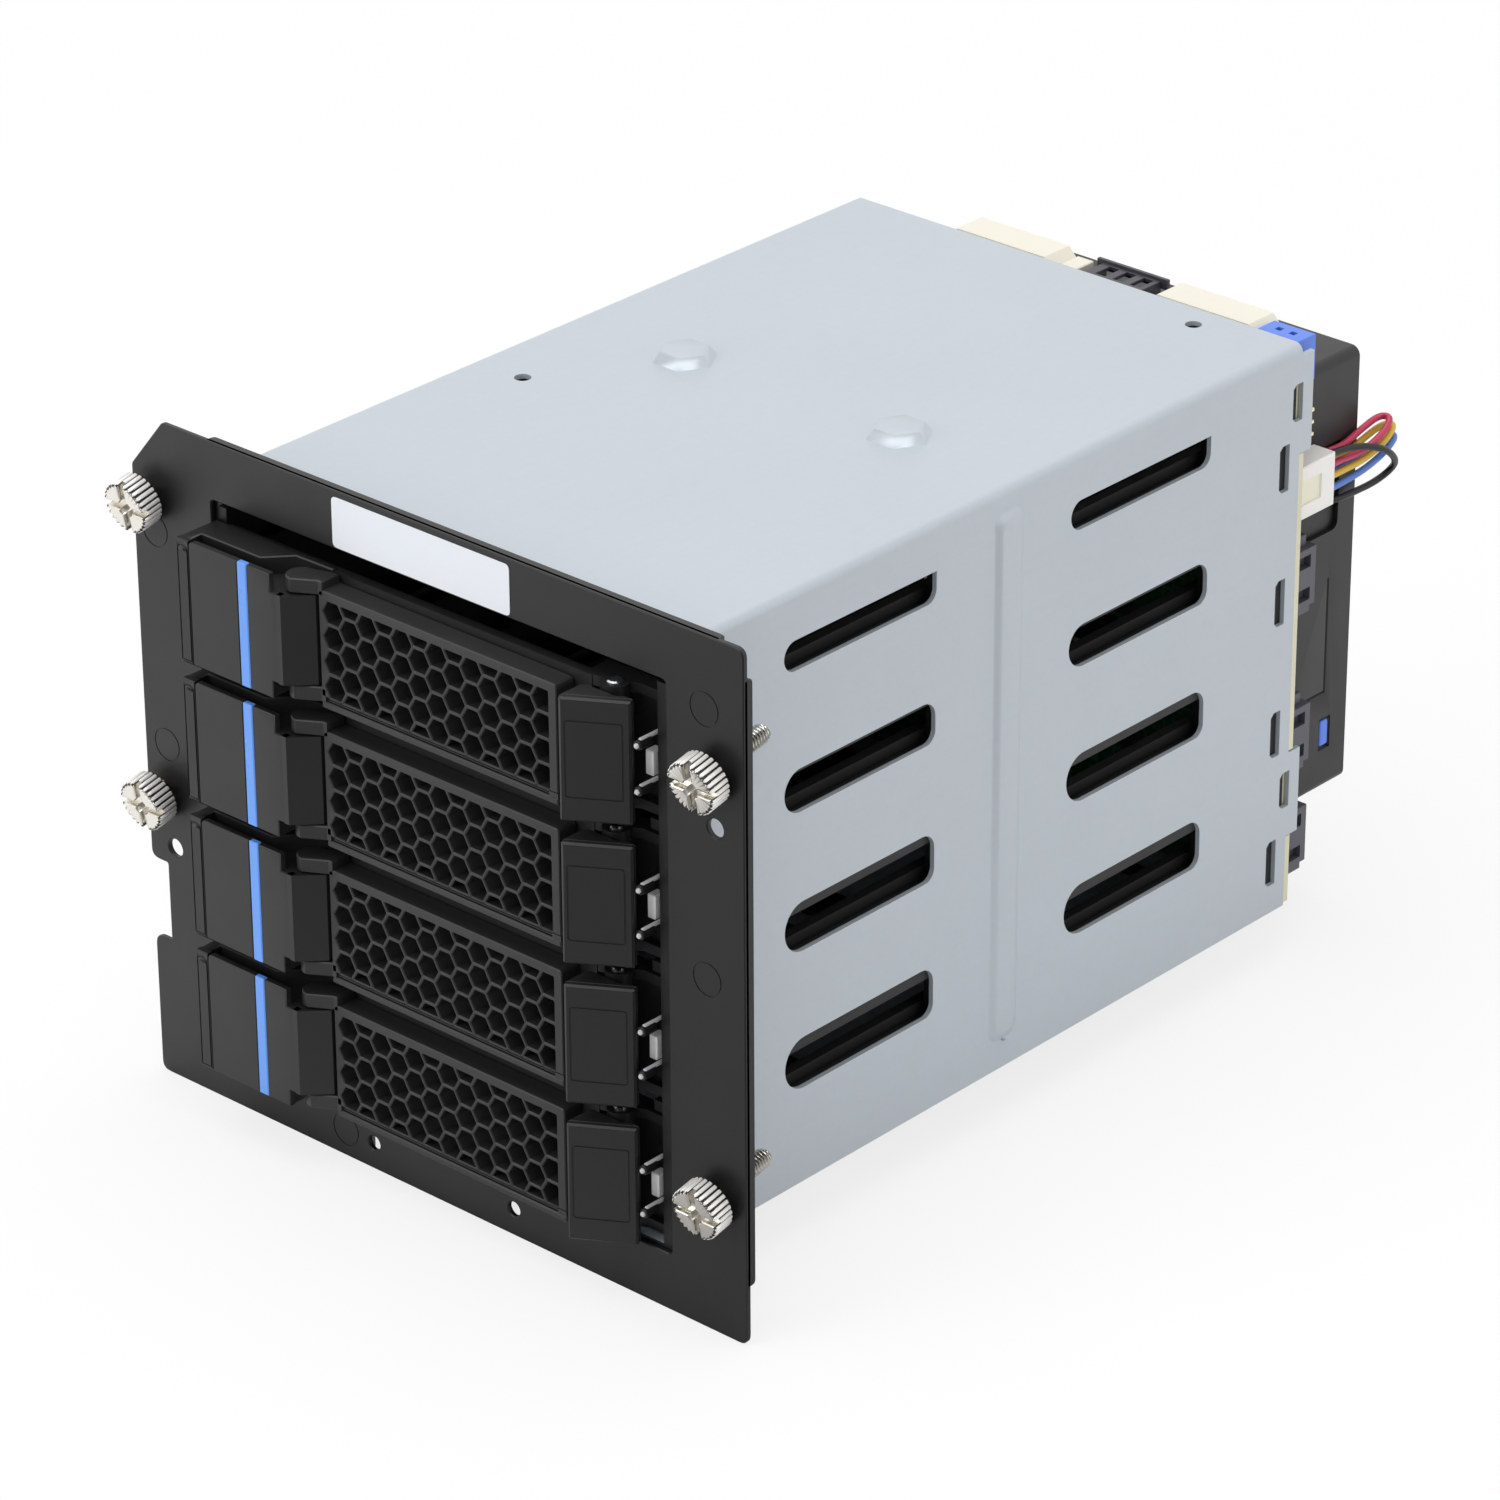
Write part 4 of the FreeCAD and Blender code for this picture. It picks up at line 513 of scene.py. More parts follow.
class Maker:
    """Collects the faces of one piece."""

    def __init__(self) -> None:
        """Starts an empty mesh."""
        self.mesh = bmesh.new()
        self.paint = 0

    def ring(self, plane: Plane, path: Path, level: float) -> Ring:
        """Adds the corners of an outline at a level."""
        return [self.mesh.verts.new(plane.point(u, v, level)) for u, v in path]

    def skin(self, corners: Sequence[bmesh.types.BMVert]) -> None:
        """Adds one face in the paint of the moment."""
        self.mesh.faces.new(corners).material_index = self.paint

    def wall(self, first: Ring, second: Ring) -> None:
        """Joins two rings of equal count by a strip of faces."""
        for index in range(len(first)):
            after = (index + 1) % len(first)
            self.skin((first[index], first[after], second[after], second[index]))

    def stack(self, rings: Sequence[Ring]) -> None:
        """Joins each ring to the next."""
        for first, second in zip(rings, rings[1:]):
            self.wall(first, second)

    def fill(self, rings: Sequence[Ring], facing: Vector) -> None:
        """Fills the flat area between an outer ring and its holes."""
        edges = []
        for ring in rings:
            for index, corner in enumerate(ring):
                ends = (ring[index - 1], corner)
                edges.append(self.mesh.edges.get(ends) or self.mesh.edges.new(ends))
        made = bmesh.ops.triangle_fill(self.mesh, use_beauty=True, use_dissolve=False,
                                       edges=edges, normal=facing)
        for item in made["geom"]:
            if isinstance(item, bmesh.types.BMFace):
                item.material_index = self.paint

    def slab(self, plane: Plane, path: Path, low: float, high: float, holes: Iterable[Path] = (),
             sunk: Iterable[Sunk] = (), edge: float = 0.2, low_edge: float | None = None) -> None:
        """Adds a flat plate with softened edges, holes and recesses.

        Args:
            plane: where it is drawn.
            path: its outline, anticlockwise.
            low: its inner level.
            high: its outer level.
            holes: outlines of through holes.
            sunk: recesses in its outer face.
            edge: how far its outer edges are softened.
            low_edge: the same for its inner edges.
        """
        low_edge = edge if low_edge is None else low_edge
        upper, lower = [], []
        for outline, sign in [(path, 1.0)] + [(hole, -1.0) for hole in holes]:
            rings = []
            if edge > 0:
                rings.append(self.ring(plane, inset(outline, sign * edge), high))
            rings.append(self.ring(plane, outline, high - edge))
            rings.append(self.ring(plane, outline, low + low_edge))
            if low_edge > 0:
                rings.append(self.ring(plane, inset(outline, sign * low_edge), low))
            self.stack(rings)
            upper.append(rings[0])
            lower.append(rings[-1])
        upper += [self.carve(plane, high, recess) for recess in sunk]
        self.fill(upper, plane.out)
        self.fill(lower, -plane.out)

    def carve(self, plane: Plane, level: float, recess: Sunk) -> Ring:
        """Adds the walls and floor of a recess.

        Args:
            plane: where it is drawn.
            level: the level of the face it is sunk in.
            recess: the recess.

        Returns:
            The corners of its rim.
        """
        outer, floor = inset(recess.path, -recess.width / 2), level - recess.depth
        rim, foot = self.ring(plane, outer, level), self.ring(plane, outer, floor)
        self.wall(rim, foot)
        if recess.width == 0:
            before, self.paint = self.paint, recess.paint or self.paint
            self.fill([foot], plane.out)
            self.paint = before
            return rim
        inner = inset(recess.path, recess.width / 2)
        inner_foot, inner_rim = self.ring(plane, inner, floor), self.ring(plane, inner, level)
        self.stack([foot, inner_foot, inner_rim])
        self.fill([inner_rim], plane.out)
        return rim

    def cover(self, plane: Plane, path: Path, level: float, sunk: Iterable[Sunk] = ()) -> None:
        """Adds one flat face with recesses."""
        rims = [self.carve(plane, level, recess) for recess in sunk]
        self.fill([self.ring(plane, path, level)] + rims, plane.out)

    def turned(self, plane: Plane, centre: Point, profile: Sequence[Point], steps: int = 32,
               wave: Callable[[float], float] | None = None) -> None:
        """Adds a solid turned round an axis that leaves the plane.

        Args:
            plane: the axis leaves it at right angles.
            centre: where the axis stands.
            profile: pairs of radius and level.
            steps: sides round the axis.
            wave: what is added to each radius at a turn.
        """
        rings = []
        for radius, level in profile:
            points = []
            for step in range(steps):
                turn = 2 * math.pi * step / steps
                reach = radius + (wave(turn) if wave else 0.0)
                points.append((centre[0] + reach * math.cos(turn), centre[1] + reach * math.sin(turn)))
            rings.append(self.ring(plane, points, level))
        self.stack(rings)
        self.skin(list(reversed(rings[0])))
        self.skin(rings[-1])

    def take(self, node: str, keep: Callable[[Vector], bool] | None = None) -> None:
        """Adds a CAD node's faces.

        Args:
            node: the CAD node.
            keep: says of a face's middle, in millimetres, whether it stays.
        """
        source = bmesh.new()
        source.from_mesh(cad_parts[node].data)
        bmesh.ops.remove_doubles(source, verts=source.verts, dist=2e-6)
        bmesh.ops.dissolve_limit(source, angle_limit=math.radians(0.6), verts=source.verts,
                                 edges=source.edges, use_dissolve_boundaries=False)
        if keep is not None:
            gone = [face for face in source.faces if not keep(face.calc_center_median() / MM)]
            bmesh.ops.delete(source, geom=gone, context="FACES")
        for face in source.faces:
            face.material_index = self.paint
        held = bpy.data.meshes.new("held")
        source.to_mesh(held)
        self.mesh.from_mesh(held)
        source.free()
        bpy.data.meshes.remove(held)

    def ease(self, width: float) -> None:
        """Softens the sharp edges to a width in millimetres."""
        chosen = [edge for edge in self.mesh.edges
                  if len(edge.link_faces) == 2 and edge.calc_face_angle(0.0) >= SHARP]
        bmesh.ops.bevel(self.mesh, geom=chosen, offset=width * MM, offset_type="OFFSET", segments=1,
                        profile=0.5, affect="EDGES", clamp_overlap=True, material=-1)

    def piece(self, node: str, finishes: Sequence[Finish], body: str = "cage",
              soft: float = SMOOTH, turn: bool = True) -> None:
        """Makes the object, sets it on its body and stands it in place of its node.

        Args:
            node: the CAD node that it replaces.
            finishes: its finishes, in the order of its paints.
            body: the CAD body that it rides on.
            soft: edges with a smaller turn are shaded round.
            turn: whether its faces are turned outwards first.
        """
        bmesh.ops.remove_doubles(self.mesh, verts=self.mesh.verts, dist=1e-6)
        if turn:
            bmesh.ops.recalc_face_normals(self.mesh, faces=self.mesh.faces)
        name = node + "_skin"
        data = bpy.data.meshes.new(name)
        self.mesh.to_mesh(data)
        self.mesh.free()
        for finish in finishes:
            data.materials.append(finish.material())
        data.polygons.foreach_set("use_smooth", [True] * len(data.polygons))
        data.set_sharp_from_angle(angle=soft)
        made = placed(name, data)
        even = made.modifiers.new("even_shading", "WEIGHTED_NORMAL")
        even.keep_sharp = True
        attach(made, body)
        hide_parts(node)
        LOG.info("%s: %d faces on %s", name, len(data.polygons), body)


@dataclass(frozen=True)
class Extent:
    """The box of a CAD node, in millimetres."""

    left: float
    right: float
    front: float
    back: float
    bottom: float
    top: float

    @classmethod
    def of(cls, node: str) -> "Extent":
        """Reads the box of a node."""
        low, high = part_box(node)
        return cls(low.x / MM, high.x / MM, low.y / MM, high.y / MM, low.z / MM, high.z / MM)


def refine(node: str, finish: Finish, body: str, edge: float = 0.0, soft: float = SMOOTH) -> None:
    """Stands a copy with round shading and softened edges in place of a CAD node.

    Args:
        node: the CAD node.
        finish: its finish.
        body: the body that it rides on.
        edge: how far its edges are softened, in millimetres.
        soft: edges with a smaller turn are shaded round.
    """
    maker = Maker()
    maker.take(node)
    if edge > 0:
        maker.ease(edge)
    maker.piece(node, [finish], body, soft, turn=False)


# Camera, floor and light

@dataclass
class Studio:
    """Camera, pale floor and soft lamps."""

    lens: float = 156.47
    azimuth: float = 42.17
    elevation: float = 26.83
    roll: float = -0.30
    stand: Place = (0.74409, -0.73718, 0.61691)
    floor_level: float = -5.65
    ambient: float = 0.62
    dimness: float = 0.75
    clearness: float = 0.78
    middle: Place = (0.0, 0.09, 0.06)
    floor_radius: float = 0.8
    floor_fade: Point = (0.34, 0.75)

    def camera(self) -> None:
        """Sets the camera as the photograph was taken."""
        turn, rise, roll = (math.radians(a) for a in (self.azimuth, self.elevation, self.roll))
        back = Vector((math.sin(turn) * math.cos(rise), -math.cos(turn) * math.cos(rise), math.sin(rise)))
        right = (-back).cross(Vector((0, 0, 1))).normalized()
        up = right.cross(-back)
        across = right * math.cos(roll) + up * math.sin(roll)
        over = up * math.cos(roll) - right * math.sin(roll)
        data = bpy.data.cameras.new("camera")
        data.lens = self.lens
        data.sensor_width = 36.0
        camera = placed("camera", data)
        axes = Matrix((across, over, back)).transposed().to_4x4()
        camera.matrix_world = Matrix.Translation(Vector(self.stand)) @ axes
        bpy.context.scene.camera = camera

    def world(self) -> None:
        """White to the eye, softer on the object, and dim in reflections from the camera's side."""
        world = bpy.data.worlds.new("studio")
        recipe = Recipe(world, "Generated")
        shown = recipe.ray("Camera").most(recipe.ray("Transmission"))
        mirrored = recipe.ray("Glossy")
        dim = recipe.towards(self.sideways()).ramp(0.35, 0.95) * self.dimness
        light = shown + (1.0 - shown) * (mirrored * (1.0 - dim) + (1.0 - mirrored) * self.ambient)
        glow = recipe.add("ShaderNodeBackground", {}, {"Color": (1.0, 1.0, 1.0, 1.0), "Strength": light})
        recipe.close(glow, "World")
        bpy.context.scene.world = world

    def sideways(self) -> Place:
        """The level direction in which the camera stands."""
        turn = math.radians(self.azimuth)
        return (math.sin(turn), -math.cos(turn), 0.0)

    def floor(self) -> None:
        """A pale round floor that fades into the white."""
        recipe = Recipe(bpy.data.materials.new("floor_white"))
        far = recipe.add("ShaderNodeVectorMath", {"operation": "LENGTH"}, {0: recipe.place}, "Value")
        ahead = recipe.towards(self.sideways())
        dim = ahead.ramp(0.03, 0.20) * recipe.ray("Glossy") * self.dimness
        light = recipe.tint((0.93, 0.93, 0.93), 1.0 - dim)
        paint = recipe.add("ShaderNodeBsdfDiffuse", {}, {"Color": light})
        clear = recipe.add("ShaderNodeBsdfTransparent")
        held = (1.0 - far.ramp(*self.floor_fade)) * (1.0 - recipe.ray("Camera") * self.clearness)
        recipe.close(recipe.add("ShaderNodeMixShader", {}, {0: 1.0 - held, 1: paint, 2: clear}))
        mesh = bmesh.new()
        bmesh.ops.create_circle(mesh, cap_ends=True, segments=96, radius=self.floor_radius)
        data = bpy.data.meshes.new("floor")
        mesh.to_mesh(data)
        mesh.free()
        data.materials.append(recipe.owner)
        floor = placed("floor", data)
        floor.location = (*self.middle[:2], self.floor_level * MM)

    def lamp(self, name: str, place: Place, width: float, power: float) -> None:
        """Adds one square soft lamp that points at the middle.

        Args:
            name: its name.
            place: where it stands.
            width: its side, in metres.
            power: its power.
        """
        data = bpy.data.lights.new(name, "AREA")
        data.size = width
        data.energy = power
        lamp = placed(name, data)
        lamp.location = place
        lamp.rotation_euler = (Vector(place) - Vector(self.middle)).to_track_quat("Z", "Y").to_euler()

    def lamps(self) -> None:
        """A broad lamp overhead, one from the front and a weak one from the right."""
        self.lamp("overhead", (-0.1, 0.0, 1.5), 1.3, 11.0)
        self.lamp("front_soft", (-0.5, -1.3, 0.8), 0.9, 6.0)
        self.lamp("right_soft", (1.4, 0.2, 0.7), 0.9, 2.2)

    def build(self) -> None:
        """Sets up the whole studio."""
        scene = bpy.context.scene
        scene.view_settings.view_transform = "Standard"
        self.camera()
        self.world()
        self.floor()
        self.lamps()


# Fan leads

@dataclass
class FanLeads:
    """Four leads that leave the fan plug, turn back and go into the duct."""

    thickness: float = 1.4
    routes: dict[str, list[Place]] = field(default_factory=lambda: {
        "black": [
            (53.2, 192.0, 97.0), (53.2, 196.6, 97.0), (55.4, 202.4, 96.6), (56.8, 207.4, 94.4),
            (56.2, 211.4, 90.6), (53.9, 212.4, 87.4), (52.4, 209.2, 85.4), (51.4, 204.4, 84.8),
            (50.7, 199.4, 84.5), (48.7, 197.2, 84.3)],
        "red": [
            (53.0, 192.0, 94.5), (53.0, 197.4, 94.5), (53.6, 203.6, 94.4), (54.4, 208.6, 96.4),
            (53.9, 212.4, 98.8), (50.9, 212.2, 98.5), (50.8, 206.4, 97.2), (50.7, 199.6, 95.3),
            (48.7, 197.4, 95.1)],
        "yellow": [
            (53.0, 192.0, 92.0), (53.0, 197.6, 92.0), (53.8, 204.2, 92.6), (54.4, 210.0, 94.8),
            (53.7, 213.8, 96.9), (50.9, 213.6, 96.2), (50.8, 207.4, 95.0), (50.7, 199.6, 93.0),
            (48.7, 197.4, 92.8)],
        "blue": [
            (53.0, 192.0, 89.4), (53.0, 197.8, 89.4), (53.8, 204.4, 90.4), (54.4, 210.4, 92.6),
            (53.7, 214.4, 94.4), (50.9, 214.4, 93.6), (50.8, 207.6, 92.2), (50.7, 199.6, 90.6),
            (48.7, 197.4, 90.4)],
    })
    lengths: dict[str, float] = field(default_factory=lambda: {
        "black": 42.0, "red": 39.1, "yellow": 41.7, "blue": 43.0})

    def build(self) -> None:
        """Makes each lead as one smooth curve."""
        for colour, route in self.routes.items():
            name = f"fan_wire_{colour}"
            curve = bpy.data.curves.new(name + "_lead", "CURVE")
            curve.dimensions = "3D"
            curve.bevel_depth = self.thickness / 2 * MM
            curve.bevel_resolution = 5
            curve.resolution_u = 14
            curve.use_fill_caps = True
            spline = curve.splines.new("NURBS")
            spline.points.add(len(route) - 1)
            for point, place in zip(spline.points, route):
                point.co = (*(Vector(place) * MM), 1.0)
            spline.order_u = 3
            spline.use_endpoint_u = True
            curve.materials.append(LEADS[colour].material())
            lead = placed(name + "_lead", curve)
            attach(lead, "cage")
            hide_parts(name)
            LOG.info("%s: lead of %d points", name, len(route))


# Front plate, label and thumbscrews

@dataclass
class FrontPlate:
    """Satin black plate with its window, holes, stamped discs and bent lips."""

    gauge: float = 1.2
    corner: float = 2.0
    chamfer: Point = (8.6, 10.5)
    notch: tuple[float, float, float] = (4.4, 24.0, 40.7)
    window: tuple[float, float, float, float] = (-55.01, 57.83, 6.18, 121.48)
    small_holes: tuple[Point, ...] = ((69.2, 96.6), (-69.2, 44.7), (-71.8, 117.9), (-71.8, 56.3),
                                      (68.85, 107.8), (68.85, 22.9))
    small_radius: float = 1.85
    locating: float = 18.15
    locating_radius: float = 1.5
    discs: tuple[Point, ...] = ((66.9, 119.0), (67.1, 66.2), (-70.4, 110.6), (-70.0, 66.4), (-25.5, 0.2))
    disc_radius: float = 3.25
    disc_line: Point = (0.12, 0.28)
    lip: float = 2.5
    lip_round: float = 1.6
    top_lip: Point = (20.0, 6.0)
    side_lip: Point = (12.0, 6.0)
    chamfer_round: float = 1.2
    notch_round: float = 0.4
    edge: float = 0.22

    def outline(self, box: Extent) -> Path:
        """The plate's outline."""
        inset_by, low, high = self.notch
        corners = [(box.left, box.bottom), (box.right, box.bottom), (box.right, box.top),
                   (box.left + self.chamfer[0], box.top), (box.left, box.top - self.chamfer[1]),
                   (box.left, high), (box.left + inset_by, high), (box.left + inset_by, low),
                   (box.left, low)]
        soft, slant, nook = self.corner, self.chamfer_round, self.notch_round
        return soften(corners, [soft, soft, soft, slant, slant, soft, nook, nook, soft])

    def build(self) -> None:
        """Makes the plate."""
        box = Extent.of("front_plate")
        plane = Facing.FRONT.value
        maker = Maker()
        holes = [soften(box_path(*self.window), 1.0)]
        holes += [ring_path(u, v, self.small_radius) for u, v in self.small_holes]
        holes += [ring_path(side * self.locating, 0.0, self.locating_radius) for side in (-1, 1)]
        discs = [Sunk(ring_path(u, v, self.disc_radius, 48), *self.disc_line) for u, v in self.discs]
        maker.slab(plane, self.outline(box), 0.0, self.gauge, holes, discs, self.edge)
        lip_front, lip_back = -self.gauge + self.edge, -self.gauge + self.lip
        start, end = box.left + self.top_lip[0], box.right - self.top_lip[1]
        bend = self.lip_round
        top = soften(box_path(start, end, lip_front, lip_back), (0, 0, bend, bend))
        maker.slab(Facing.TOP.value, top, box.top - self.gauge, box.top)
        low, high = box.bottom + self.side_lip[0], box.top - self.side_lip[1]
        side = soften(box_path(lip_front, lip_back, low, high), (0, bend, bend, 0))
        maker.slab(Facing.RIGHT.value, side, box.right - self.gauge, box.right)
        maker.piece("front_plate", [PLATE])
        self.label()

    def label(self) -> None:
        """Bare label with round corners."""
        box = Extent.of("label")
        maker = Maker()
        path = soften(box_path(box.left, box.right, box.bottom, box.top), 1.1)
        maker.slab(Facing.FRONT.value, path, -box.back, -box.front, edge=0.03)
        maker.piece("label", [LABEL])


@dataclass
class Thumbscrew:
    """Knurled nickel screw with a cross slot and a sunk middle, with painted shade in its knurl's grooves
    and painted highlights on its ribs.
    """

    number: int
    place: Point
    sheet_middle: float = -0.6
    tilt: float = 12.0
    teeth: int = 28
    tooth: float = 0.50
    land: float = 0.26
    groove: float = 0.10
    head_radius: float = 5.3
    head_length: float = 4.9
    standoff: float = 1.9
    slot: float = 1.25
    slot_depth: float = 1.3
    core: float = 1.75
    thread_radius: float = 1.95
    thread_start: float = 1.6
    length: float = 13.0
    pitch: float = 0.7

    def axes(self) -> Plane:
        """The screw's own plane, tilted with its nose down."""
        lean = math.radians(self.tilt)
        middle = (self.place[0], self.sheet_middle, self.place[1])
        return Plane((1, 0, 0), (0, -math.sin(lean), math.cos(lean)), middle)

    def knurl(self, turn: float) -> float:
        """How much a groove takes from the radius, between flat ribs."""
        phase = turn * self.teeth / (2 * math.pi) % 1.0
        away = abs(phase - 0.5)
        rise = (away - self.groove) / (self.land - self.groove)
        return -self.tooth * min(1.0, max(0.0, 1.0 - rise))

    def quarter(self, start: float) -> Path:
        """One raised quarter of the head between the slots."""
        half = self.slot / 2
        rim = self.head_radius
        low = math.asin(half / rim)
        steps = self.teeth * 3
        turns = [low + (math.pi / 2 - 2 * low) * step / steps for step in range(steps + 1)]
        path = []
        for turn in turns:
            path += arc((0, 0), rim + self.knurl(turn + start), [turn])
        core = self.core
        inner = math.asin(half / core)
        back = [math.pi / 2 - inner - (math.pi / 2 - 2 * inner) * step / 8 for step in range(9)]
        path += arc((0, 0), core, back)
        spin = Matrix.Rotation(start, 2)
        return [tuple(spin @ Vector(point)) for point in path]

    def build(self) -> None:
        """Makes the screw."""
        plane = self.axes()
        front = self.standoff + self.head_length
        maker = Maker()
        for index in range(4):
            maker.slab(plane, self.quarter(index * math.pi / 2), front - self.slot_depth, front,
                       edge=0.28, low_edge=0.0)
        steps = self.teeth * 12
        rim = self.head_radius
        maker.turned(plane, (0, 0), [(rim - 0.5, self.standoff), (rim, self.standoff + 0.45),
                                     (rim, front - self.slot_depth)], steps, self.knurl)
        neck = self.thread_radius - 0.45
        maker.turned(plane, (0, 0), [(neck, self.standoff), (neck, -self.thread_start)], 32)
        self.thread(maker, plane)
        self.paint_knurl_light(maker, plane)
        name = f"thumbscrew_{self.number}"
        maker.piece(name, [NICKEL, GROOVE_SHADE, RIB_HIGHLIGHT], name, math.radians(50))

    def paint_knurl_light(self, maker: Maker, plane: Plane) -> None:
        """Paints highlights onto the ribs of the knurl and shade into the bottoms of its grooves."""
        origin = Vector(plane.origin)
        deepest = self.head_radius - self.tooth * 1.1
        shallowest = self.head_radius - self.tooth * 0.45
        for face in maker.mesh.faces:
            spot = face.calc_center_median() / MM - origin
            level = spot.dot(plane.out)
            away = (spot - plane.out * level).length
            if level < self.standoff + 0.2 or away < deepest:
                continue
            # Painted shade in the grooves and painted highlight on the ribs.
            face.material_index = 1 if away < shallowest else 2

    def thread(self, maker: Maker, plane: Plane) -> None:
        """The thread behind the plate, as one helix."""
        sides, rows = 28, 6
        count = int((self.length - self.thread_start) / self.pitch * rows)
        rings = []
        for row in range(count + 1):
            along = self.thread_start + row * self.pitch / rows
            nose = max(0.0, along - (self.length - 1.0))
            points = []
            for side in range(sides):
                turn = 2 * math.pi * side / sides
                phase = (along / self.pitch - side / sides) % 1.0
                reach = self.thread_radius - 0.42 * abs(phase * 2 - 1) - nose * 0.5
                points.append((reach * math.cos(turn), reach * math.sin(turn)))
            rings.append(maker.ring(plane, points, -along))
        maker.stack(rings)
        maker.skin(list(reversed(rings[0])))
        maker.skin(rings[-1])


# Folded cage and its liners

@dataclass
class Cage:
    """Plated steel roof, walls and floor, with soft stamped ribs."""

    right: float = 57.83
    left: float = -55.25
    gauge: float = 1.0
    rib: tuple[float, float, float, float] = (86.7, 95.1, 12.0, 122.2)
    rib_round: float = 3.8
    rib_slope: tuple[Point, ...] = ((0.0, 0.0), (0.45, 0.16), (0.95, 0.42), (1.45, 0.66), (2.0, 0.8))
    # Faces nearer the front than this, in millimetres, are painted black as shade.
    rim: float = 0.05
    backed: tuple[Point, ...] = ((110.1, 117.7), (81.7, 92.0), (53.3, 65.0), (24.9, 37.0))
    windows: tuple[Point, Point] = ((28.7, 71.5), (107.9, 150.7))
    backing: Point = (0.1, 0.9)
    vent_round: float = 3.4
    vent_backs: Point = (70.7, 149.9)
    vent_tops: tuple[float, float, float] = (91.2, 64.2, 36.2)

    def build(self) -> None:
        """Makes the sheets, with their front edges painted black as shade, and the liners behind the
        vents.
        """
        right, left = self.right, self.left
        low, high, bottom, top = self.rib
        maker = Maker()

        def outside_rib(middle: Vector) -> bool:
            beside = middle.x > right + 0.05 or middle.x < left - 0.05
            return not (beside and low - 0.3 < middle.y < high + 0.3 and bottom < middle.z < top + 0.3)

        maker.take("cage_shell", lambda middle: outside_rib(middle) and middle.y >= self.rim)
        # The front edges of the roof and walls take the black guide finish: painted shade.
        maker.paint = 1
        maker.take("cage_shell", lambda middle: middle.y < self.rim)
        maker.paint = 0
        for plane, path, level in self.sides(soften(box_path(*self.rib), self.rib_round, 8)):
            rings = [maker.ring(plane, inset(path, reach), level + rise) for reach, rise in self.rib_slope]
            maker.stack(rings)
            maker.fill([rings[-1]], plane.out)
        self.round_vents(maker)
        maker.piece("cage_shell", [ZINC, GUIDE], soft=math.radians(32))
        self.floor()
        refine("guide_right", GUIDE, "cage")
        self.left_liner()

    def sides(self, path: Path) -> list[tuple[Plane, Path, float]]:
        """An outline of the right wall for both walls, each with its plane and its outer level."""
        mirrored = [(-u, v) for u, v in reversed(path)]
        return [(Facing.RIGHT.value, path, self.right), (Facing.LEFT.value, mirrored, -self.left)]

    def round_vents(self, maker: Maker) -> None:
        """Rounds the upper back corner of every vent below the top row."""
        reach = self.vent_round
        turns = [math.radians(90 - 15 * step) for step in range(7)]
        for back in self.vent_backs:
            for top in self.vent_tops:
                corner = [(back, top)] + arc((back - reach, top - reach), reach, turns)
                for plane, path, level in self.sides(corner):
                    maker.slab(plane, path, level - self.gauge, level, edge=0.0)

    def floor(self) -> None:
        """Bottom sheet, with its front edge painted black as shade."""
        maker = Maker()
        maker.take("cage_floor", lambda middle: middle.y >= self.rim)
        # The front edge takes the black guide finish: painted shade.
        maker.paint = 1
        maker.take("cage_floor", lambda middle: middle.y < self.rim)
        maker.piece("cage_floor", [ZINC, GUIDE], turn=False)

    def left_liner(self) -> None:
        """Liner of the left wall, closed behind the vents."""
        box = Extent.of("guide_left")
        maker = Maker()
        maker.take("guide_left")
        for start, end in self.windows:
            for low, high in self.backed:
                maker.slab(Facing.RIGHT.value, box_path(start, end, low, high),
                           box.left + self.backing[0], box.left + self.backing[1], edge=0.0)
        maker.piece("guide_left", [GUIDE], turn=False)


# Trays with their levers and latches

